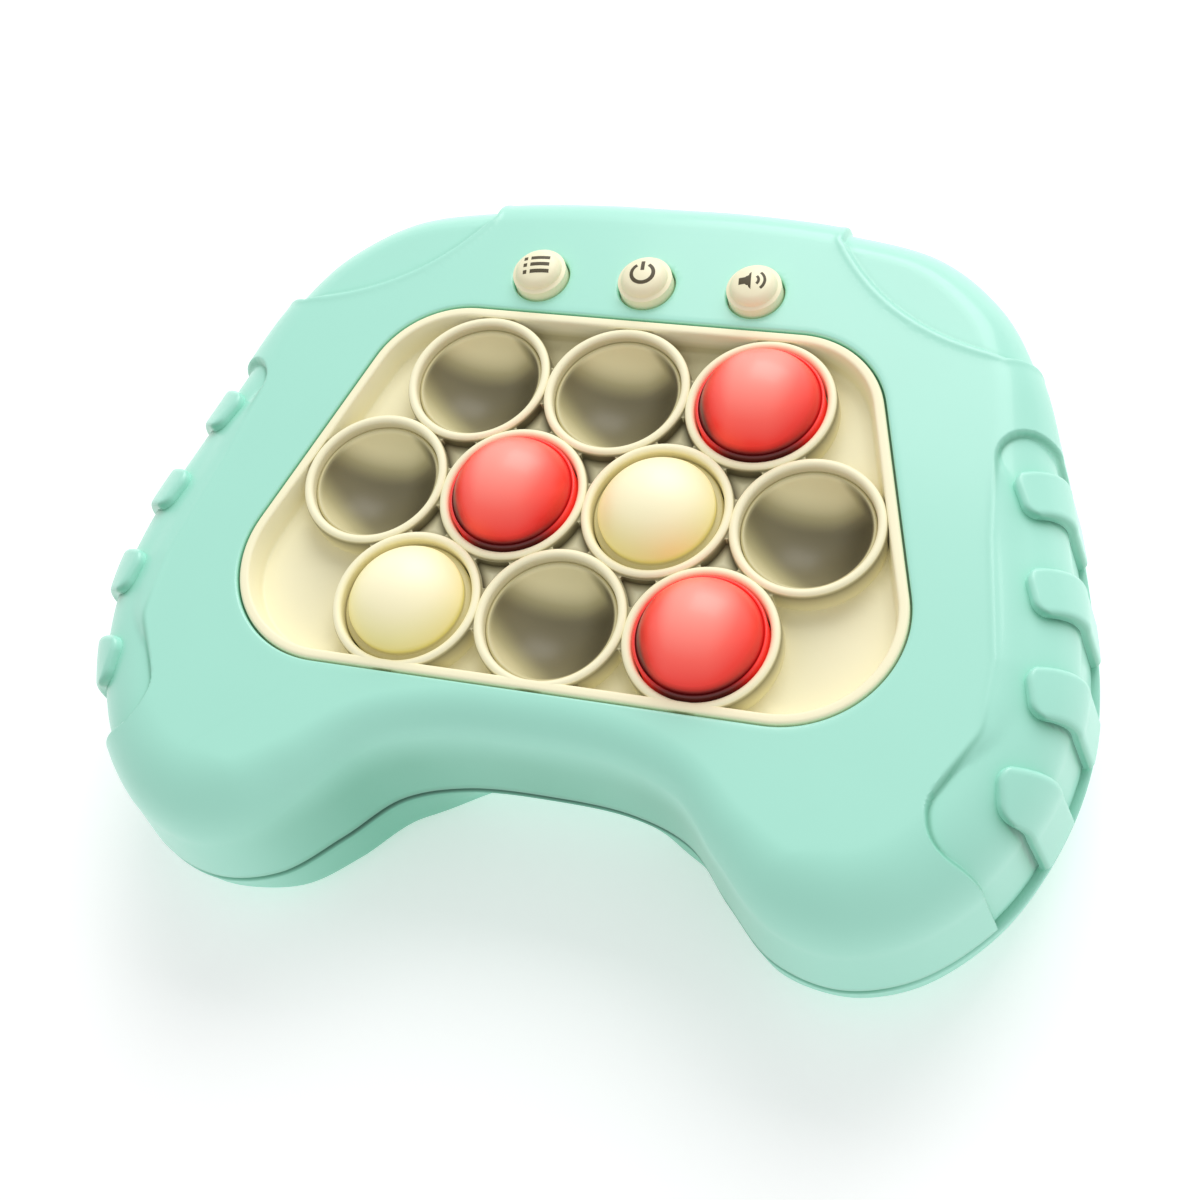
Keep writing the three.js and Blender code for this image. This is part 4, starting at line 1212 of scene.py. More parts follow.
@dataclass
class Lugs:
    """Raised pads across both grips, each following the case's surface."""

    case: FrontCase
    proud: float = 0.3
    width: float = 7.8
    lengths: tuple[float, ...] = (9.4, 9.4, 9.2, 8)
    corner: float = 2.4
    pitch_share: float = 0.265
    first_share: float = 0.235
    first_angle: float = 29
    angle_step: float = 5.3
    edge: float = 0.95
    bury: float = 2.0
    foot_gap: float = 0.05
    columns: int = 26
    rows: int = 56
    edge_rows: int = 6
    face_rows: int = 12
    search: Point = (26, 14)

    def place(self, number: int) -> tuple[Array, Array, Array]:
        """Where a lug of the right grip lies.

        Args:
            number: Its number from the top.

        Returns:
            Its centre on the outline, and the directions along and across it.
        """
        y = (self.first_share - number * self.pitch_share) * self.case.plan.half[1]
        right = self.case.outline[self.case.outline[:, 0] > 0]
        x = float(right[np.argmin(np.abs(right[:, 1] - y)), 0])
        angle = math.radians(self.first_angle - number * self.angle_step)
        along = np.array([math.cos(angle), math.sin(angle)])
        return np.array([x, y]), along, np.array([-along[1], along[0]])

    def path(self, rings: list[Ring], number: int, offset: float) -> Array:
        """The case's surface along one line across the grip, up from the seam.

        Args:
            rings: The case's outer rings.
            number: The lug's number from the top.
            offset: The line's distance from the lug's middle, in mm.

        Returns:
            Place and direction at each point, points x 6.
        """
        centre, along, across = self.place(number)
        found = []
        for ring in rings:
            local = ring.points[:, :2] - centre
            reach, side = local @ along, local @ across
            near = (np.abs(reach) < self.search[0]) & (np.abs(side) < self.search[1])
            near &= ring.points[:, 0] > 0
            order = np.argsort(side[near])
            values = np.hstack([ring.points, ring.directions])[near][order]
            found.append(sampled(offset, side[near][order], values))
        path = np.array(found)
        bound = max(0.0, abs(offset) - (self.width / 2 - self.corner))
        shrink = self.corner - math.sqrt(max(self.corner**2 - bound**2, 0))
        stop = -self.lengths[number] + shrink
        start = float((path[-1, :2] - centre) @ along)
        for reach in np.linspace(start, min(stop, start), self.face_rows)[1:]:
            plan = centre + along * reach + across * offset
            path = np.vstack([path, [*plan, self.case.plan.face, 0, 0, 1]])
        reach = (path[:, :2] - centre) @ along
        tip = sampled(-stop, np.maximum.accumulate(-reach), path)
        kept = np.vstack([path[reach > stop + 1e-3], tip])
        step = np.linalg.norm(np.diff(kept[:, :3], axis=0), axis=1)
        length = np.concatenate([[0], np.cumsum(step)])
        edge_share = self.edge / length[-1]
        shares = np.concatenate([
            np.linspace(0, 1 - edge_share, self.rows - self.edge_rows, endpoint=False),
            1 - edge_share * (1 - np.sin(np.linspace(0, QUARTER, self.edge_rows))),
        ])
        return sampled(shares * length[-1], length, kept)

    def rise(self, away: Array) -> Array:
        """Height of a lug over the case's surface near its edge.

        Args:
            away: Distance from the lug's edge in mm.

        Returns:
            The rise in mm.
        """
        share = np.clip(1 - away / self.edge, 0, 1)
        drop = self.edge * (1 - np.sqrt(np.clip(1 - share**2, 0, 1)))
        return np.where(away <= 1e-6, -self.bury, self.proud - drop)

    def away(self, points: Array) -> Array:
        """How far some places lie outside each lug, and on which of its sides.

        Args:
            points: Points x 3 in mm.

        Returns:
            The distances in mm, and the sides from -1 at the front to 1 at the back, as
            2 x lugs x points.
        """
        found = []
        for number, length in enumerate(self.lengths):
            centre, along, across = self.place(number)
            local = np.stack([np.abs(points[:, 0]), points[:, 1]], 1) - centre
            reach, side = local @ along, local @ across
            wide = np.abs(side) - (self.width / 2 - self.corner)
            long = -(reach + length - self.corner)
            outside = np.hypot(np.maximum(wide, 0), np.maximum(long, 0))
            outside += np.minimum(np.maximum(wide, long), 0) - self.corner
            found.append((outside, side / self.width * 2))
        return np.swapaxes(found, 0, 1)

    def shadow(self, points: Array) -> Array:
        """How much painted shadow the lugs cast on the case around their feet.

        Args:
            points: Points x 3 in mm.

        Returns:
            Values from 0 to 1.
        """
        away, side = self.away(points)
        front = 0.15 + 0.7 * smoothstep(-side, -0.5, 0.95)
        return (front * np.exp(-np.maximum(away, 0) / 0.8)).max(0)

    def shade(self, points: Array) -> Array:
        """Painted shade on the lugs: darker down their front edges.

        Args:
            points: Points x 3 in mm.

        Returns:
            Values from 0, dark, to 1, light.
        """
        away, side = self.away(points)
        here = (away < 0.3) & (np.abs(side) < 1.1)
        brink = smoothstep(away, -0.55, -0.05) * smoothstep(-side, 0.2, 0.95)
        return 1 - (0.5 * brink * here).max(0)

    def build(self) -> Piece:
        """Builds all lugs of both grips as one piece.

        Returns:
            The mesh object.
        """
        rings, half = self.case.outer_rings(), self.width / 2
        edge = self.edge * (1 - np.cos(np.linspace(0, QUARTER, self.edge_rows)))
        side = np.concatenate([[0.0], edge + 0.02])
        middle = np.linspace(-half + self.edge, half - self.edge, self.columns)[1:-1]
        offsets = np.concatenate([-half + side, middle, (half - side)[::-1]])
        foot = self.case.plan.front_foot + self.foot_gap
        made = []
        for number in range(len(self.lengths)):
            paths = np.array([self.path(rings, number, offset) for offset in offsets])
            lasts = np.linalg.norm(paths[:, -1:, :3] - paths[:, :, :3], axis=2)
            away = np.minimum((half - np.abs(offsets))[:, None], lasts)
            top = paths[:, :, :3] + paths[:, :, 3:] * self.rise(away)[:, :, None]
            under = paths[:, :, :3] - paths[:, :, 3:] * self.bury
            for sheet in (top, under):
                sheet[:, :, 2] = np.maximum(sheet[:, :, 2], foot)
            for mirror in (1, -1):
                name, scale = f"lug_{number}_{mirror}", np.array([mirror, 1, 1])
                sheets = [
                    bent_grid(f"{name}_{part}", sheet * scale)
                    for part, sheet in (("top", top), ("under", under))
                ]
                lug = weld(joined(name, sheets))
                with editing(lug):
                    bpy.ops.mesh.select_non_manifold()
                    bpy.ops.mesh.bridge_edge_loops()
                made.append(closed(weld(lug)))
        return smooth(joined("grip_lugs", made), 40)


@dataclass
class RearCase:
    """Rear shell: wall, rounded edge and flat back, with the battery opening and the holes."""

    plan: CasePlan
    spacing: float = 1.3
    lip: float = 0.8
    edge_rings: int = 16
    wall_rings: int = 5
    back_rings: int = 6
    floor_rings: int = 2
    inner_rings: int = 5
    middle: Point = (0.0, 2.0)
    thinnest: float = 0.6
    tongue_inset: float = 3.0
    tongue: float = 1.0
    tongue_height: float = 2.0
    tongue_edge: float = 0.2
    counterbore: float = 3.1
    counterbore_flare: float = 0.4
    counterbore_depth: float = 6.5
    screw_hole: float = 1.6
    column: float = 4.4
    screw_shares: tuple[Point, ...] = ((0.437, 0.79), (0.84, -0.03), (0.69, -0.755))
    grille_hole: float = 1.3
    grille_flare: float = 0.3
    grille_pitch: float = 4.8
    speaker_shares: Point = (-0.626, -0.333)

    def build(self, opening: "BatteryOpening") -> Piece:
        """Builds the shell.

        Args:
            opening: The opening that the battery door closes.

        Returns:
            The mesh object.
        """
        plan = self.plan
        outline = evenly(plan.dense_outline(), self.spacing)
        radius, draft = plan.back_radius_at(outline), plan.back_draft_at(outline)
        top, crest = plan.rear_top, plan.seam + self.tongue_height
        near, far, edge = self.tongue_inset, self.tongue_inset + self.tongue, self.tongue_edge
        rings = [
            (far + 0.05, top - self.tongue_height - 1.5), (far, top - self.tongue_height),
            (far, crest - edge), (far - edge, crest), (near + edge, crest), (near, crest - edge),
            (near, top), *arc((self.lip, top - self.lip), self.lip, 90, 180, 4),
        ]
        for share in np.linspace(0, 1, self.wall_rings, endpoint=False)[1:]:
            rings.append((draft * share, (top - self.lip) + (radius - top + self.lip) * share))
        for turn in np.linspace(0, QUARTER, self.edge_rings + 1):
            rings.append((draft + radius * (1 - math.cos(turn)), radius * (1 - math.sin(turn))))
        rows = [inset_ring(outline, inset, height) for inset, height in rings]
        brink, middle = rows[-1][:, :2], np.array(self.middle)
        for share in np.linspace(0, 1, self.back_rings + 1)[1:]:
            rows.append(level(brink + (middle - brink) * share, 0))
        for share in np.linspace(1, 0, self.floor_rings + 1)[:-1]:
            rows.append(level(brink + (middle - brink) * share, plan.wall))
        thin = np.maximum(radius - plan.wall, self.thinnest)
        for turn in np.linspace(QUARTER, 0, self.inner_rings + 1):
            inset, height = draft + radius - thin * math.cos(turn), radius - thin * math.sin(turn)
            rows.append(inset_ring(outline, inset, height))
        shell = bent_grid("rear_case", looped([*rows, rows[0]]))
        combined(shell, self.columns(), "UNION")
        opening.add_to(shell)
        combined(shell, self.cutters(), "DIFFERENCE")
        return smooth(shell, 35)

    def screw_places(self) -> list[Point]:
        """Places of the case screws, in mm."""
        places = [tuple(share * self.plan.half) for share in self.screw_shares]
        return [(side * x, y) for x, y in places for side in (-1, 1)]

    def columns(self) -> list[Piece]:
        """Columns that hold the case screws.

        Returns:
            The bodies.
        """
        low, high = self.plan.wall / 2, self.plan.seam
        profile = [(0, low), (self.column, low), (self.column, high), (0, high)]
        return [
            spun(f"column_{i}", profile, place, 32) for i, place in enumerate(self.screw_places())
        ]

    def mouth(self, hole: float, flare: float) -> list[Point]:
        """Profile of a cutter for a hole's flared mouth in the back."""
        return [(0, -1), (hole + flare, -1), *arc((hole + flare, flare), flare, 270, 180, 3)]

    def cutters(self) -> list[Piece]:
        """Bodies that cut the screw holes and the speaker grille.

        Returns:
            The bodies.
        """
        depth, hole, top = self.counterbore_depth, self.screw_hole, self.plan.seam + 1
        bore = [
            *self.mouth(self.counterbore, self.counterbore_flare), (self.counterbore, depth),
            (hole, depth), (hole, top), (0, top),
        ]
        bodies = [
            spun(f"bore_{i}", bore, place, 40) for i, place in enumerate(self.screw_places())
        ]
        hole, top = self.grille_hole, self.plan.wall + 1
        bore = [*self.mouth(hole, self.grille_flare), (hole, top), (0, top)]
        x, y = self.speaker_shares * self.plan.half
        for i in range(7):
            angle, reach = i * math.pi / 3, self.grille_pitch if i else 0
            place = (x + reach * math.cos(angle), y + reach * math.sin(angle))
            bodies.append(spun(f"grille_{i}", bore, place, 28))
        return bodies


@dataclass(frozen=True)
class BatteryOpening:
    """Bay, ledge and screw column behind the battery door."""

    centre_y: float = 2
    half_length: float = 25.4
    half_width: float = 16.45
    wall: float = 1.5
    roof: float = 13.15
    ledge: float = 1.6
    door_left: float = -27.0
    door_right: float = 36.1
    door_gap: float = 0.4
    ledge_top: float = 3.6
    door_underside: float = 2.4
    boss_place: float = 31.0
    boss_radius: float = 4.3
    floor: float = 3.9
    root: float = 1.2
    column: float = 3.6
    column_rise: float = 5
    screw_hole: float = 1.7
    tab_place: float = 11
    slot_half: float = 3.9
    slot_reach: float = 2.4
    slot_height: float = 3.8

    def add_to(self, shell: Piece) -> None:
        """Adds the bay to the rear shell and cuts its opening.

        Args:
            shell: The rear shell.
        """
        wide = self.half_width + self.ledge
        y_low, y_high = self.centre_y - wide - self.door_gap, self.centre_y + wide + self.door_gap
        left, right = self.door_left - self.door_gap, self.door_right + self.door_gap
        boss, place = self.boss_radius + self.door_gap, (self.boss_place, self.centre_y)
        boxed(
            shell, "UNION", "bay_body",
            (-self.half_length - self.wall, self.centre_y - self.half_width - self.wall, self.root),
            (self.half_length + self.wall, self.centre_y + self.half_width + self.wall,
             self.roof + self.wall),
            0.4,
        )
        boxed(
            shell, "UNION", "ledge_body", (left - self.wall, y_low - self.wall, self.root),
            (right + self.wall, y_high + self.wall, self.ledge_top),
        )
        top, tip = self.floor + self.wall, self.floor + self.column_rise
        well = [
            (0, self.root), (boss + self.wall, self.root), (boss + self.wall, top),
            (self.column, top), (self.column, tip), (0, tip),
        ]
        combined(shell, [spun("well_body", well, place, 48)], "UNION")
        boxed(
            shell, "DIFFERENCE", "bay_hollow",
            (-self.half_length, self.centre_y - self.half_width, -1),
            (self.half_length, self.centre_y + self.half_width, self.roof), 0.3,
        )
        boxed(
            shell, "DIFFERENCE", "door_recess", (left, y_low, -1),
            (right, y_high, self.door_underside),
        )
        hole, tip = self.screw_hole, tip + 1
        pit = [(0, -1), (boss, -1), (boss, self.floor), (hole, self.floor), (hole, tip), (0, tip)]
        combined(shell, [spun("boss_pit", pit, place, 48)], "DIFFERENCE")
        for side in (-1, 1):
            y, low = self.centre_y + side * self.tab_place, self.door_underside
            boxed(
                shell, "DIFFERENCE", "tab_slot",
                (self.door_left - self.slot_reach, y - self.slot_half, low),
                (-self.half_length + 1, y + self.slot_half, low + self.slot_height),
            )


@dataclass
class BatteryDoor:
    """Door with softened edges, a finger pad of ribs, a screw boss and two hooked tabs."""

    opening: BatteryOpening
    bottom: float = 0.3
    top: float = 2.1
    edge: float = 0.35
    boss_top: float = 3.6
    tab_half: float = 3.5
    tab_top: float = 3.9
    hook_bottom: float = 2.7
    rib_count: int = 5
    rib_pitch: float = 2.2
    rib_start: float = 8
    rib_half: Point = (0.5, 8)
    rib_top: float = 0.75
    screw_pit: float = 3.1
    pit_depth: float = 2.4
    screw_hole: float = 1.6

    def build(self) -> Piece:
        """Builds the door.

        Returns:
            The mesh object.
        """
        shape = self.opening
        left, tab, middle = shape.door_left, -shape.half_length, shape.centre_y
        wide, boss = shape.half_width + shape.ledge, shape.boss_radius
        place = (shape.boss_place, middle)
        door = box_piece(
            "battery_door_plate", (left, middle - wide, self.bottom),
            (shape.door_right, middle + wide, self.top), self.edge,
        )
        low, high = self.bottom + 0.4, self.boss_top
        profile = [(0, low), (boss, low), (boss, high - 0.3), (boss - 0.3, high), (0, high)]
        combined(door, [spun("door_boss", profile, place, 56)], "UNION")
        for side in (-1, 1):
            y = middle + side * shape.tab_place
            y_low, y_high = y - self.tab_half, y + self.tab_half
            tip = (tab + 2, y_high, self.tab_top)
            boxed(door, "UNION", "tab_stem", (tab + 0.4, y_low, shape.root), tip)
            boxed(door, "UNION", "tab_hook", (left - 2, y_low, self.hook_bottom), tip, 0.25)
        grooves = []
        for i in range(self.rib_count):
            x, (half, long) = left + self.rib_start + i * self.rib_pitch, self.rib_half
            low, high = (x - half, middle - long, -1), (x + half, middle + long, self.rib_top)
            grooves.append(box_piece(f"rib_groove_{i}", low, high, 0.3))
        combined(door, grooves, "DIFFERENCE")
        pit, depth, hole = self.screw_pit, self.pit_depth, self.screw_hole
        profile = [
            (0, -1), (pit + 0.3, -1), (pit + 0.3, 0.3), (pit, 0.6), (pit, depth), (hole, depth),
            (hole, 5), (0, 5),
        ]
        combined(door, [spun("screw_pit", profile, place, 48)], "DIFFERENCE")
        return smooth(door, 30)


# --- mat and bubbles ---


@dataclass(frozen=True)
class BubbleGrid:
    """Places of the ten bubbles in three rows."""

    window: WindowPlan
    pitch: float = 24
    drop: float = 0.7
    bore: float = 10.6
    crest: float = 35.5
    rows: tuple[tuple[str, int], ...] = (("top", 3), ("middle", 4), ("bottom", 3))

    def places(self) -> dict[str, Point]:
        """Each bubble's place by its name.

        Returns:
            Name and place in mm.
        """
        found = {}
        middle = float(self.window.centre[1]) - self.drop
        for row, (name, count) in enumerate(self.rows):
            y = middle + (1 - row) * self.pitch * math.sin(math.pi / 3)
            for i in range(count):
                found[f"{name}_{i + 1}"] = ((i - (count - 1) / 2) * self.pitch, y)
        return found

    def groups(self) -> list[list[Point]]:
        """The places in three groups, in each of which no two are neighbours.

        Returns:
            The groups.
        """
        found: list[list[Point]] = [[], [], []]
        numbers = [i + row % 2 for row, (_, count) in enumerate(self.rows) for i in range(count)]
        for number, place in zip(numbers, self.places().values()):
            found[number % 3].append(place)
        return found


@dataclass
class SiliconeMat:
    """Mat: a rim bead that fills the window's edge, a low floor and a block of joined collars."""

    window: WindowPlan
    grid: BubbleGrid
    gap: float = 0.35
    rim_width: float = 2.5
    rim_round: float = 0.55
    rim_spacing: float = 0.9
    floor_spacing: float = 1.2
    floor_depth: float = 4.6
    floor_thickness: float = 1.6
    plate_thickness: float = 1.4
    collar: float = 12.2
    collar_root: float = 0.8
    fillet: float = 0.45
    crest_round: float = 0.12
    roll: float = 0.77
    pit_depth: float = 2.4
    web_thickness: float = 1
    web_reach: float = 1.25
    bore_depth: float = 9
    arc_step: float = 4
    outer_order: tuple[str, ...] = (
        "bottom_1", "bottom_2", "bottom_3", "middle_4", "top_3", "top_2", "top_1", "middle_1",
    )

    def rim_rows(self) -> Array:
        """Profile of the rim bead swept along the window.

        Returns:
            Points as rows x columns x 3, in mm.
        """
        loop = evenly(self.window.loop(), self.rim_spacing)
        crest, floor = self.grid.crest, self.grid.crest - self.floor_depth
        under, edge = floor - self.floor_thickness, self.rim_round
        outer, inner = -self.gap, -self.gap - self.rim_width
        profile = [
            (outer, under + 0.6), (outer, crest - edge),
            *arc((outer - edge, crest - edge), edge, 0, 90, 5)[1:],
            *arc((outer - 1.2, crest - 0.5), 0.5, 90, 165, 4),
            (inner + 0.35, floor + 1.2),
            *arc((inner - 0.3, floor + 0.5), 0.5, 10, -90, 4)[1:],
            (inner - 2, floor), (inner - 2, under), (outer - 0.6, under),
        ]
        rings = [*profile, profile[0]]
        return looped([inset_ring(loop, -reach, height) for reach, height in rings])

    def plate(self, name: str, edge: Array, middle: Array, top: float, thickness: float) -> Piece:
        """Builds a flat plate from its middle to an edge.

        Args:
            name: The plate's name.
            edge: Points x 2 of its edge in mm.
            middle: Its middle.
            top: Height of its upper side.
            thickness: How thick it is.

        Returns:
            The mesh object.
        """
        under, centre = top - thickness, np.broadcast_to(middle, edge.shape)
        sides = ((centre, top), (edge, top), (edge, under), (centre, under))
        return bent_grid(name, looped([level(plan, height) for plan, height in sides]))

    def floor_plate(self) -> Piece:
        """Builds the floor under the collars.

        Returns:
            The mesh object.
        """
        loop = evenly(self.window.loop(), self.floor_spacing)
        inner = inset_ring(loop, self.gap + self.rim_width + 1, 0)[:, :2]
        top = self.grid.crest - self.floor_depth
        return self.plate("mat_floor", inner, self.window.centre, top, self.plate_thickness)

    def webs(self) -> list[Piece]:
        """Builds the thin floors of the pits.

        Returns:
            One mesh object for each pit.
        """
        made, top = [], self.grid.crest - self.pit_depth
        for number, loop in enumerate(self.pits()):
            middle = np.mean(loop, axis=0)
            edge = middle + (np.array(loop) - middle) * self.web_reach
            made.append(self.plate(f"web_{number}", edge, middle, top, self.web_thickness))
        return made

    def fillet_centre(self, first: Point, second: Point, towards: Array) -> Array:
        """Centre of the fillet between two collars.

        Args:
            first: Centre of one collar.
            second: Centre of the other.
            towards: A point on the fillet's side of the two.

        Returns:
            The fillet's centre.
        """
        a, b = np.array(first), np.array(second)
        middle, half = (a + b) / 2, np.linalg.norm(b - a) / 2
        away = math.sqrt((self.collar + self.fillet) ** 2 - half**2)
        side = np.array([a[1] - b[1], b[0] - a[0]]) / (2 * half)
        if side @ (towards - middle) < 0:
            side = -side
        return middle + side * away

    def chain(
        self, centres: Sequence[Point], fillets: Sequence[Array], hole: bool
    ) -> list[Point]:
        """A closed loop of collar arcs joined by fillets.

        Args:
            centres: Collar centres in order.
            fillets: The fillet after each collar.
            hole: Whether the loop is a pit between collars and not their outside.

        Returns:
            The loop's points in mm.
        """
        points: list[Point] = []
        for i, centre in enumerate(centres):
            before, after = fillets[i - 1], fillets[i]
            start, end = (bearing(centre, fillet) for fillet in (before, after))
            sweep = (end - start) % 360
            if hole and sweep > 180:
                sweep -= 360
            steps = max(2, round(abs(sweep) / self.arc_step))
            points += arc(centre, self.collar, start, start + sweep, steps)
            following = centres[(i + 1) % len(centres)]
            start, end = (bearing(after, collar) for collar in (centre, following))
            sweep = (end - start + 180) % 360 - 180
            points += arc(tuple(after), self.fillet, start, start + sweep, 6)[1:-1]
        return points

    def loops(self) -> list[list[Point]]:
        """All loops of the collar block: its outside, the pits and the bores.

        Returns:
            The loops.
        """
        at = self.grid.places()
        outside = [at[name] for name in self.outer_order]
        fillets = []
        for a, b in zip(outside, outside[1:] + outside[:1]):
            halfway = (np.array(a) + np.array(b)) / 2
            beyond = halfway + (halfway - self.window.centre)
            fillets.append(self.fillet_centre(a, b, beyond))
        bores = [arc(place, self.grid.bore, 0, 360, 90)[:-1] for place in at.values()]
        return [self.chain(outside, fillets, False), *self.pits(), *bores]

    def pits(self) -> list[list[Point]]:
        """The loops of all pits between three collars.

        Returns:
            The loops.
        """
        at, triples = self.grid.places(), []
        for row in ("top", "bottom"):
            triples += [(f"{row}_{i}", f"middle_{i}", f"middle_{i + 1}") for i in range(1, 4)]
            triples += [(f"{row}_{i}", f"{row}_{i + 1}", f"middle_{i + 1}") for i in range(1, 3)]
        return [self.pit([at[name] for name in triple]) for triple in triples]

    def pit(self, centres: list[Point]) -> list[Point]:
        """The loop of the pit between three collars.

        Args:
            centres: Centres of the collars.

        Returns:
            The loop's points.
        """
        middle = np.mean(np.array(centres), axis=0)
        ordered = sorted(centres, key=lambda c: -math.atan2(c[1] - middle[1], c[0] - middle[0]))
        fillets = [
            self.fillet_centre(a, b, middle) for a, b in zip(ordered, ordered[1:] + ordered[:1])
        ]
        return self.chain(ordered, fillets, True)

    def collar_block(self) -> Piece:
        """Builds the collars as one block up to their rolled crests.

        Returns:
            The mesh object.
        """
        base = self.grid.crest - self.floor_depth - self.collar_root
        half = (self.grid.crest - self.roll - base) / 2
        bpy.ops.object.select_all(action="DESELECT")
        bpy.ops.curve.primitive_bezier_circle_add(radius=0.01, location=(0, 0, 0))
        block = bpy.context.active_object
        curve = block.data
        curve.splines.clear()
        for loop in self.loops():
            spline = curve.splines.new("POLY")
            spline.points.add(len(loop) - 1)
            for point, (x, y) in zip(spline.points, loop):
                point.co = (x * MM, y * MM, 0, 1)
            spline.use_cyclic_u = True
        curve.dimensions, curve.fill_mode = "2D", "BOTH"
        curve.extrude = (half - self.crest_round) * MM
        curve.bevel_depth = self.crest_round * MM
        curve.bevel_resolution = 3
        curve.offset = -self.crest_round * MM
        block.location = (0, 0, (base + half) * MM)
        alone(block)
        bpy.context.view_layer.update()
        bpy.ops.object.convert(target="MESH")
        return weld(at_origin(named("mat_collars")))

    def build(self) -> Piece:
        """Builds the mat.

        Returns:
            The mesh object.
        """
        mat = self.collar_block()
        combined(mat, [bent_grid("mat_rim", self.rim_rows())], "UNION")
        combined(mat, [self.floor_plate()], "UNION")
        combined(mat, self.webs(), "UNION")
        crest, bore = self.grid.crest, self.grid.bore
        roll = arc((bore + self.roll + 0.02, crest - self.roll), self.roll, 0, 360, 18)
        for number, group in enumerate(self.grid.groups()):
            rolls = [
                spun(f"mat_roll_{number}_{i}", roll, place, 90) for i, place in enumerate(group)
            ]
            combined(mat, rolls, "UNION")
        low, high = crest - self.bore_depth, crest + 1
        profile = [(0, low), (bore, low), (bore, high), (0, high)]
        holes = [
            spun(f"mat_bore_{name}", profile, place, 90)
            for name, place in self.grid.places().items()
        ]
        combined(mat, holes, "DIFFERENCE")
        mat = joined("silicone_mat", [mat])
        with editing(mat, "SELECT"):
            bpy.ops.mesh.dissolve_degenerate(threshold=2 * WELD)
        # Painted light and shade on the mat.
        write_shade(mat, self.shade)
        return smooth(mat, 42)

    def shade(self, points: Array) -> Array:
        """Painted light and shade on the silicone: pale at the crests, dark at the feet and down
        the flanks.

        Args:
            points: Points x 3 in mm.

        Returns:
            Values from 0, dark, to 1, light.
        """
        places = np.array(list(self.grid.places().values()))
        away = np.linalg.norm(points[:, None, :2] - places[None], axis=2).min(1) - self.collar
        depth = self.grid.crest - points[:, 2]
        crest = 1 - smoothstep(depth, 0.25, 1.9)
        along = (points[:, 1] - self.window.bottom) / (self.window.top - self.window.bottom)
        side = smoothstep(np.abs(points[:, 0]), 24, 37)
        # Painted shade: the floor darkens towards the window's top edge, less at the sides, and
        # round the collars' feet.
        low = 0.6 - 0.3 * smoothstep(along, 0.25, 0.95) * (1 - side)
        low = low - 0.16 * (1 - smoothstep(away, 0.2, 2.2)) * smoothstep(depth, 1.5, 2.2)
        # Painted shade down the collars' outer flanks and inside their bores.
        flank = smoothstep(away, -0.5, -0.1) * (1 - smoothstep(away, 0.15, 0.55))
        flank *= smoothstep(depth, 0.1, 0.4) * (depth < 3.5)
        inner = smoothstep(-away, 1.0, 1.5)
        return low + (1 - low) * crest - 0.8 * flank - 0.42 * inner


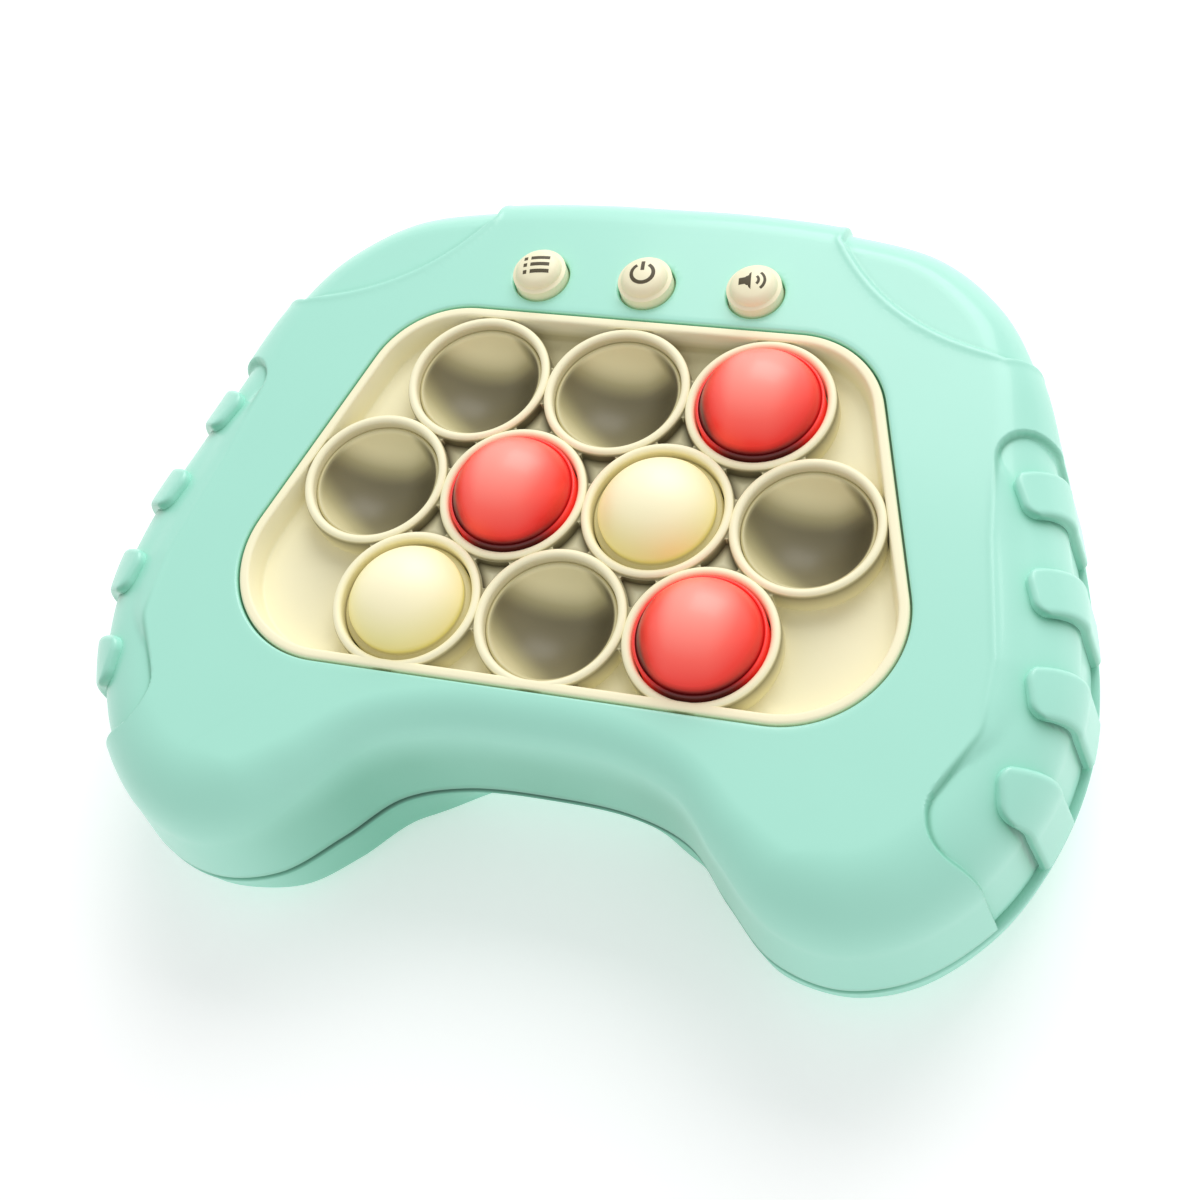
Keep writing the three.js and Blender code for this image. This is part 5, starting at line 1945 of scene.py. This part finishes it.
@dataclass(frozen=True)
class Bubble:
    """One push bubble, raised as a dome or pushed in as a cup."""

    name: str
    place: Point
    state: BubbleState
    grid: BubbleGrid
    gap: float = 0.3
    wall: float = 1.2
    skirt: float = 5
    red_rise: float = 7.5
    cream_rise: float = 5.6
    cream_inset: float = 1.0
    ledge_drop: float = 1.6
    bead: float = 0.3
    step: float = 0.6
    step_rise: float = 0.1
    nub: float = 2
    nub_edge: float = 0.3
    nub_bottom: float = 34.3
    cup_bottom: float = 26.3
    cup_drop: float = 1.6
    cup_lip: float = 0.5
    cup_gap: float = 0.12
    cup_skirt: float = 8.2

    def cap_of(self, outer: float, base: float, rise: float) -> tuple[Point, float, list[Point]]:
        """A spherical cap on a circle.

        Args:
            outer: The circle's radius in mm.
            base: The circle's height in mm.
            rise: Height of the cap over it in mm.

        Returns:
            The sphere's centre and radius, and the profile from the circle up to the axis.
        """
        bulge = (outer**2 + rise**2) / (2 * rise)
        centre = (0, base + rise - bulge)
        start = math.degrees(math.asin((base - centre[1]) / bulge))
        return centre, bulge, arc(centre, bulge, start, 90, 28)[:-1] + [(0.0, base + rise)]

    def dome_profile(self, rise: float, inset: float, stepped: bool) -> list[Point]:
        """Profile of a raised bubble: nub, underside, skirt, bead and dome.

        Args:
            rise: Height of the dome over the crest of the mat.
            inset: How much smaller than its bore it is.
            stepped: Whether a bead runs round the foot of the dome.

        Returns:
            Radius and height pairs in mm.
        """
        skirt, base, low = self.grid.bore - self.gap, self.grid.crest, self.nub_bottom
        outer, inner = skirt - inset, skirt - inset - self.wall
        centre, bulge, cap = self.cap_of(outer, base, rise)
        hollow = bulge - self.wall
        angles = (math.degrees(math.acos(radius / hollow)) for radius in (self.nub, inner))
        profile = [
            (0.0, low), (self.nub - self.nub_edge, low), (self.nub, low + self.nub_edge),
            *arc(centre, hollow, *angles, 14),
            (inner, base - self.skirt), (skirt, base - self.skirt),
        ]
        if stepped:
            foot = self.cap_of(outer - self.step, base + self.step_rise, rise - self.step_rise)[2]
            bead = arc((outer - self.bead, base), self.bead, 0, 140, 8)
            return [*profile, *bead, *foot]
        ledge = base - self.ledge_drop
        return [
            *profile, (skirt, ledge - 0.2), (skirt - 0.2, ledge), (outer + 0.35, ledge),
            (outer + 0.08, ledge + 0.12), (outer, ledge + 0.4), *cap,
        ]

    def cup_profile(self) -> list[Point]:
        """Profile of a pushed-in bubble: underside, skirt, rolled rim and bowl.

        Returns:
            Radius and height pairs in mm.
        """
        outer = self.grid.bore - self.cup_gap
        bowl = self.grid.bore - self.gap - self.cup_lip
        rim = self.grid.crest - self.cup_drop
        depth = rim - self.cup_bottom - self.wall
        bulge = (bowl**2 + depth**2) / (2 * depth)
        centre = self.cup_bottom + self.wall + bulge
        edge = math.degrees(math.asin((centre - rim) / bulge))
        under = bulge + self.wall
        under_edge = math.degrees(math.acos((outer - self.wall) / under))
        return [
            *arc((0, centre), under, -90, -under_edge, 14),
            (outer - self.wall, rim - self.cup_skirt), (outer, rim - self.cup_skirt),
            *arc(((outer + bowl) / 2, rim - 0.3), (outer - bowl) / 2, 0, 140, 6),
            *arc((0, centre), bulge, -edge - 2, -90, 28)[:-1],
            (0.0, centre - bulge),
        ]

    def shade(self, points: Array) -> Array:
        """Painted light and shade on the silicone at each place.

        Args:
            points: Points x 3 in mm.

        Returns:
            Values from 0, dark, to 1, light.
        """
        local = points - np.array([*self.place, self.grid.crest])
        outer = self.grid.bore - self.gap
        right, back = local[:, 0] / outer, local[:, 1] / outer
        radius = np.hypot(right, back)
        if self.state is BubbleState.PUSHED:
            # Cup: painted light on its far half, lip and lower-left rim, painted shade in the
            # middle and under the upper-right lip.
            lit = 0.22 + 0.08 * smoothstep(-back, 0.2, 0.9) + 0.76 * smoothstep(back, 0.22, 0.78)
            lit -= 0.08 * right + 0.16 * smoothstep(right, 0.2, 0.8)
            lit += 0.5 * smoothstep(-0.75 * back - 0.62 * right, 0.42, 0.96)
            lit -= 0.42 * smoothstep(0.72 * back + 0.68 * right, 0.82, 0.95)
            lip = smoothstep(radius, 0.945, 0.975)
            return lit * (1 - lip) + 0.72 * lip
        rise = self.red_rise if self.state is BubbleState.RED else self.cream_rise
        above = np.clip(local[:, 2] / rise, 0, 1)
        if self.state is BubbleState.CREAM:
            # Cream dome: painted highlight towards the top and back, painted shade on the ledge
            # below.
            shade = 0.36 + 0.42 * above + 0.16 * back
            return np.where(local[:, 2] < -0.1, 0, shade)
        # Red dome: painted highlight on top, painted shade on its sides, in the groove and at its
        # front foot.
        shade = 0.3 + 0.62 * above + 0.16 * back
        shade -= 0.42 * smoothstep(-right, 0.25, 0.9) + 0.18 * smoothstep(right, 0.3, 0.9)
        front = smoothstep(-back + 0.2 * right, 0.4, 0.95)
        bead = smoothstep(radius, 0.945, 0.965)
        groove = bell(radius, 0.942, 0.012) * (above < 0.12) * (1 - front)
        return (shade * (1 - bead) + 0.34 * bead) * (1 - 0.28 * groove) * (
            1 - front * (1 - smoothstep(above, 0.02, 0.26))
        )

    def build(self) -> None:
        """Builds the bubble."""
        if self.state is BubbleState.PUSHED:
            finish, profile = OLIVE_SILICONE, self.cup_profile()
        elif self.state is BubbleState.RED:
            finish, profile = RED_SILICONE, self.dome_profile(self.red_rise, 0, True)
        else:
            profile = self.dome_profile(self.cream_rise, self.cream_inset, False)
            finish = CREAM_SILICONE
        piece = smooth(spun(f"{self.name}_cap", profile, self.place, 112), 40)
        # Painted light and shade on the bubble.
        write_shade(piece, self.shade)
        finish.dress(piece)
        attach(piece, self.name)
        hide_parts(self.name)


# --- buttons ---


@dataclass(frozen=True)
class PushButton:
    """A crowned button cap with a printed symbol."""

    symbol: Symbol
    place: Point
    face: float = 35.5
    radius: float = 4.55
    rise: float = 3.7
    crown: float = 0.45
    edge: float = 1.8
    stem: float = 2.0
    stem_bottom: float = 27.1
    flange: float = 6.15
    flange_drop: float = 2.7
    flange_thickness: float = 1.2
    print_lift: float = 0.03
    print_depth: float = 0.2
    print_turn: float = 9

    def crown_height(self, radius: Array | float) -> Array | float:
        """Height of the crown in mm at a distance in mm from the middle."""
        share = np.asarray(radius) / (self.radius - self.edge)
        return self.face + self.rise - self.crown * share**2

    def cap(self) -> Piece:
        """Builds the cap.

        Returns:
            The mesh object.
        """
        brink = self.radius - self.edge
        slope = math.atan(2 * self.crown / brink)
        centre = (
            brink - self.edge * math.sin(slope),
            float(self.crown_height(brink)) - self.edge * math.cos(slope),
        )
        (_, height), *rim = arc(centre, self.edge, 0, 90 - math.degrees(slope), 8)
        crown = [(r, float(self.crown_height(r))) for r in np.linspace(brink, 0, 10)[1:]]
        top = self.face - self.flange_drop
        under = top - self.flange_thickness
        profile = [
            (0.0, self.stem_bottom), (self.stem, self.stem_bottom), (self.stem, under),
            (self.flange, under), (self.flange, top), (self.radius, top), (self.radius, height),
            *rim, *crown,
        ]
        return smooth(spun(f"{self.symbol.value}_cap", profile, self.place, 72), 35)

    def turned(self, line: Sequence[Point]) -> Array:
        """Turns points about the button's middle by the slant of the print.

        Args:
            line: Points from the button's middle in mm.

        Returns:
            Points x 2.
        """
        turn = math.radians(self.print_turn)
        cos, sin = math.cos(turn), math.sin(turn)
        x, y = np.array(line, float).T
        return np.column_stack([x * cos - y * sin, x * sin + y * cos])

    def printed(self, plan: Array, lift: float = 0) -> Array:
        """Plan points, from the button's middle, put on the print's surface or over it."""
        height = self.crown_height(np.hypot(plan[:, 0], plan[:, 1])) + self.print_lift + lift
        return level(plan + np.array(self.place), height)

    def stroke(self, name: str, line: Sequence[Point], width: float) -> Piece:
        """One printed stroke that lies on the crown.

        Args:
            name: The stroke's name.
            line: Its middle line, from the button's middle in mm.
            width: Its width in mm.

        Returns:
            The mesh object.
        """
        middle, low = self.turned(line), -self.print_depth
        step = np.gradient(middle, axis=0)
        side = unit(np.stack([-step[:, 1], step[:, 0]], 1))
        section = ((-0.5, low), (-0.5, 0), (0, 0), (0.5, 0), (0.5, low), (-0.5, low))
        rows = [self.printed(middle + side * width * share, lift) for share, lift in section]
        piece = bent_grid(name, np.array(rows))
        with editing(piece):
            bpy.ops.mesh.select_non_manifold()
            bpy.ops.mesh.edge_face_add()
        return closed(piece)

    def horn(self, name: str) -> Piece:
        """The horn of the loudspeaker symbol.

        Args:
            name: Its name.

        Returns:
            The mesh object.
        """
        first, last = (
            self.printed(self.turned(straight((x, -half), (x, half))))
            for x, half in ((-1.2, 0.6), (-0.15, 1.7))
        )
        top = [first, (first + last) / 2, last]
        below = [row - np.array([0, 0, self.print_depth]) for row in top]
        return closed(bent_grid(name, np.array([*top, *below[::-1], first])))

    def strokes(self) -> list[Piece]:
        """The symbol's strokes.

        Returns:
            The mesh objects.
        """
        name = f"{self.symbol.value}_stroke"
        if self.symbol is Symbol.LIST:
            parts = [
                (f"{name}{part}_{i}", straight((start, y), (end, y)), 0.68)
                for i, y in enumerate((1.35, 0, -1.35))
                for part, start, end in (("", -1.0, 2.2), ("_dot", -2.25, -1.6))
            ]
        elif self.symbol is Symbol.POWER:
            parts = [
                (f"{name}_ring", arc((0, -0.1), 1.85, 122, 418, 40), 0.62),
                (f"{name}_bar", straight((0, 0.35), (0, 2.3)), 0.62),
            ]
        else:
            box = self.stroke(f"{name}_box", straight((-2.2, 0), (-1.0, 0)), 1.3)
            parts = [
                (f"{name}_near", arc((0.1, 0), 1.0, -48, 48, 14), 0.45),
                (f"{name}_far", arc((0.1, 0), 1.98, -50, 50, 20), 0.45),
            ]
            return [box, self.horn(f"{name}_horn"), *(self.stroke(*part) for part in parts)]
        return [self.stroke(*part) for part in parts]

    def build(self) -> None:
        """Builds the cap and its symbol."""
        body = f"{self.symbol.value}_button"
        cap = BUTTON_CREAM.dress(self.cap())
        symbol = PRINT.dress(joined(f"{self.symbol.value}_symbol", self.strokes()))
        for piece in (cap, symbol):
            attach(piece, body)
        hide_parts(body)


# --- studio ---


@dataclass(frozen=True)
class Studio:
    """Camera of the photograph, pale floor and soft light."""

    location: Place = (0.10226, -0.14390, 0.29818)
    right: Place = (0.9432, 0.2486, -0.2204)
    down: Place = (0.1210, -0.8750, -0.4688)
    lens: float = 60.526
    sensor: float = 36
    nearest: float = 0.01
    floor_size: float = 12
    floor_height: float = -0.0004
    sky: float = 0.56
    lights: tuple[tuple[str, Place, float, float], ...] = (
        ("key", (0.1, 1.1, 0.92), 1.1, 13.4), ("fill", (0.5, -1.0, 0.6), 1.0, 0.4),
    )

    def camera(self) -> None:
        """Adds the camera."""
        right, up = Vector(self.right).normalized(), -Vector(self.down).normalized()
        back = right.cross(up).normalized()
        turn = Matrix((right, back.cross(right), back)).transposed().to_4x4()
        bpy.ops.object.camera_add()
        camera = bpy.context.active_object
        camera.matrix_world = Matrix.Translation(self.location) @ turn
        camera.data.lens = self.lens
        camera.data.sensor_width = self.sensor
        camera.data.clip_start = self.nearest
        bpy.context.scene.camera = camera

    def floor(self) -> Piece:
        """Adds the floor.

        Returns:
            The floor object.
        """
        place = (0, 0, self.floor_height)
        bpy.ops.mesh.primitive_plane_add(size=self.floor_size, location=place)
        return FLOOR_WHITE.dress(at_origin(named("studio_floor")))

    def area(self, name: str, place: Place, size: float, power: float) -> None:
        """Adds a soft square light that points at the object.

        Args:
            name: Its name.
            place: Where it hangs, in metres.
            size: Its side in metres.
            power: Its power in watts.
        """
        bpy.ops.object.light_add(type="AREA", location=place)
        light = bpy.context.active_object
        light.name = name
        light.data.size = size
        light.data.energy = power
        light.rotation_euler = Vector(place).to_track_quat("Z", "Y").to_euler()

    def world(self) -> None:
        """Makes the sky: soft light from all round, and white where it is seen."""
        world = bpy.data.worlds.new("studio_sky")
        bpy.context.scene.world = world
        world.use_nodes = True
        tree = world.node_tree
        sky = tree.nodes["Background"]
        sky.inputs["Color"].default_value = (1, 1, 1, 1)
        path = tree.nodes.new("ShaderNodeLightPath")
        strength = tree.nodes.new("ShaderNodeMix")
        strength.inputs["A"].default_value = self.sky
        strength.inputs["B"].default_value = 1
        seen = path.outputs["Is Camera Ray"]
        for ray in ("Is Glossy Ray", "Is Transmission Ray"):
            total = tree.nodes.new("ShaderNodeMath")
            total.use_clamp = True
            tree.links.new(seen, total.inputs[0])
            tree.links.new(path.outputs[ray], total.inputs[1])
            seen = total.outputs["Value"]
        tree.links.new(seen, strength.inputs["Factor"])
        tree.links.new(strength.outputs["Result"], sky.inputs["Strength"])

    def build(self) -> None:
        """Builds the studio."""
        self.camera()
        self.floor()
        for light in self.lights:
            self.area(*light)
        self.world()
        bpy.context.scene.view_settings.view_transform = "Standard"


def dress_inside() -> None:
    """Gives the CAD nodes that are kept inside their finishes."""
    finishes = {
        "mat_clamp_frame": WHITE_FRAME, "main_board": BOARD_GREEN, "lamp": CLEAR_LENS,
        "switch": DARK_PLASTIC, "speaker": DARK_PLASTIC, "battery_cell": CELL_FILM,
        "battery_contact": ZINC, "battery_door_screw": ZINC, "case_screw": ZINC,
    }
    for name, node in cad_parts.items():
        found = [key for key in finishes if key in name]
        if found:
            finishes[max(found, key=len)].dress(node)


def main() -> None:
    """Builds every piece in order."""
    logging.basicConfig(level=logging.INFO, format="scene: %(message)s")
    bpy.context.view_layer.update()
    bpy.ops.object.select_all(action="DESELECT")
    plan = CasePlan()
    window = WindowPlan(plan)
    front = FrontCase(plan, window)
    pads = Lugs(front)
    shell = MINT.dress(front.build())
    write_shade(shell, lambda points: front.shade(points) - pads.shadow(points))
    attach(shell, "case")
    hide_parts("front_shell")
    LOG.info("front case")
    lugs = MINT.dress(pads.build())
    # Painted shade on the lugs' front edges.
    write_shade(lugs, pads.shade)
    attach(lugs, "case")
    LOG.info("grip lugs")
    opening = BatteryOpening()
    rear = MINT_BACK.dress(RearCase(plan).build(opening))
    # Painted shade on the rear case towards the seam and under the arch.
    write_shade(rear, plan.back_shade)
    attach(rear, "case")
    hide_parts("rear_shell")
    LOG.info("rear case")
    door = MINT_BACK.dress(BatteryDoor(opening).build())
    # Painted shade on the door towards the seam.
    write_shade(door, plan.back_shade)
    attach(door, "battery_door")
    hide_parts("battery_door")
    LOG.info("battery door")
    grid = BubbleGrid(window)
    mat = CREAM_MAT.dress(SiliconeMat(window, grid).build())
    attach(mat, "case")
    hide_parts("bubble_mat")
    LOG.info("silicone mat")
    raised = {
        "top_3": BubbleState.RED, "middle_2": BubbleState.RED, "bottom_3": BubbleState.RED,
        "middle_3": BubbleState.CREAM, "bottom_1": BubbleState.CREAM,
    }
    for name, place in grid.places().items():
        Bubble(f"bubble_{name}", place, raised.get(name, BubbleState.PUSHED), grid).build()
    LOG.info("bubbles")
    for symbol, place in window.button_places().items():
        PushButton(symbol, place).build()
    LOG.info("buttons")
    dress_inside()
    Studio().build()
    LOG.info("studio")


if __name__ == "__main__":
    main()
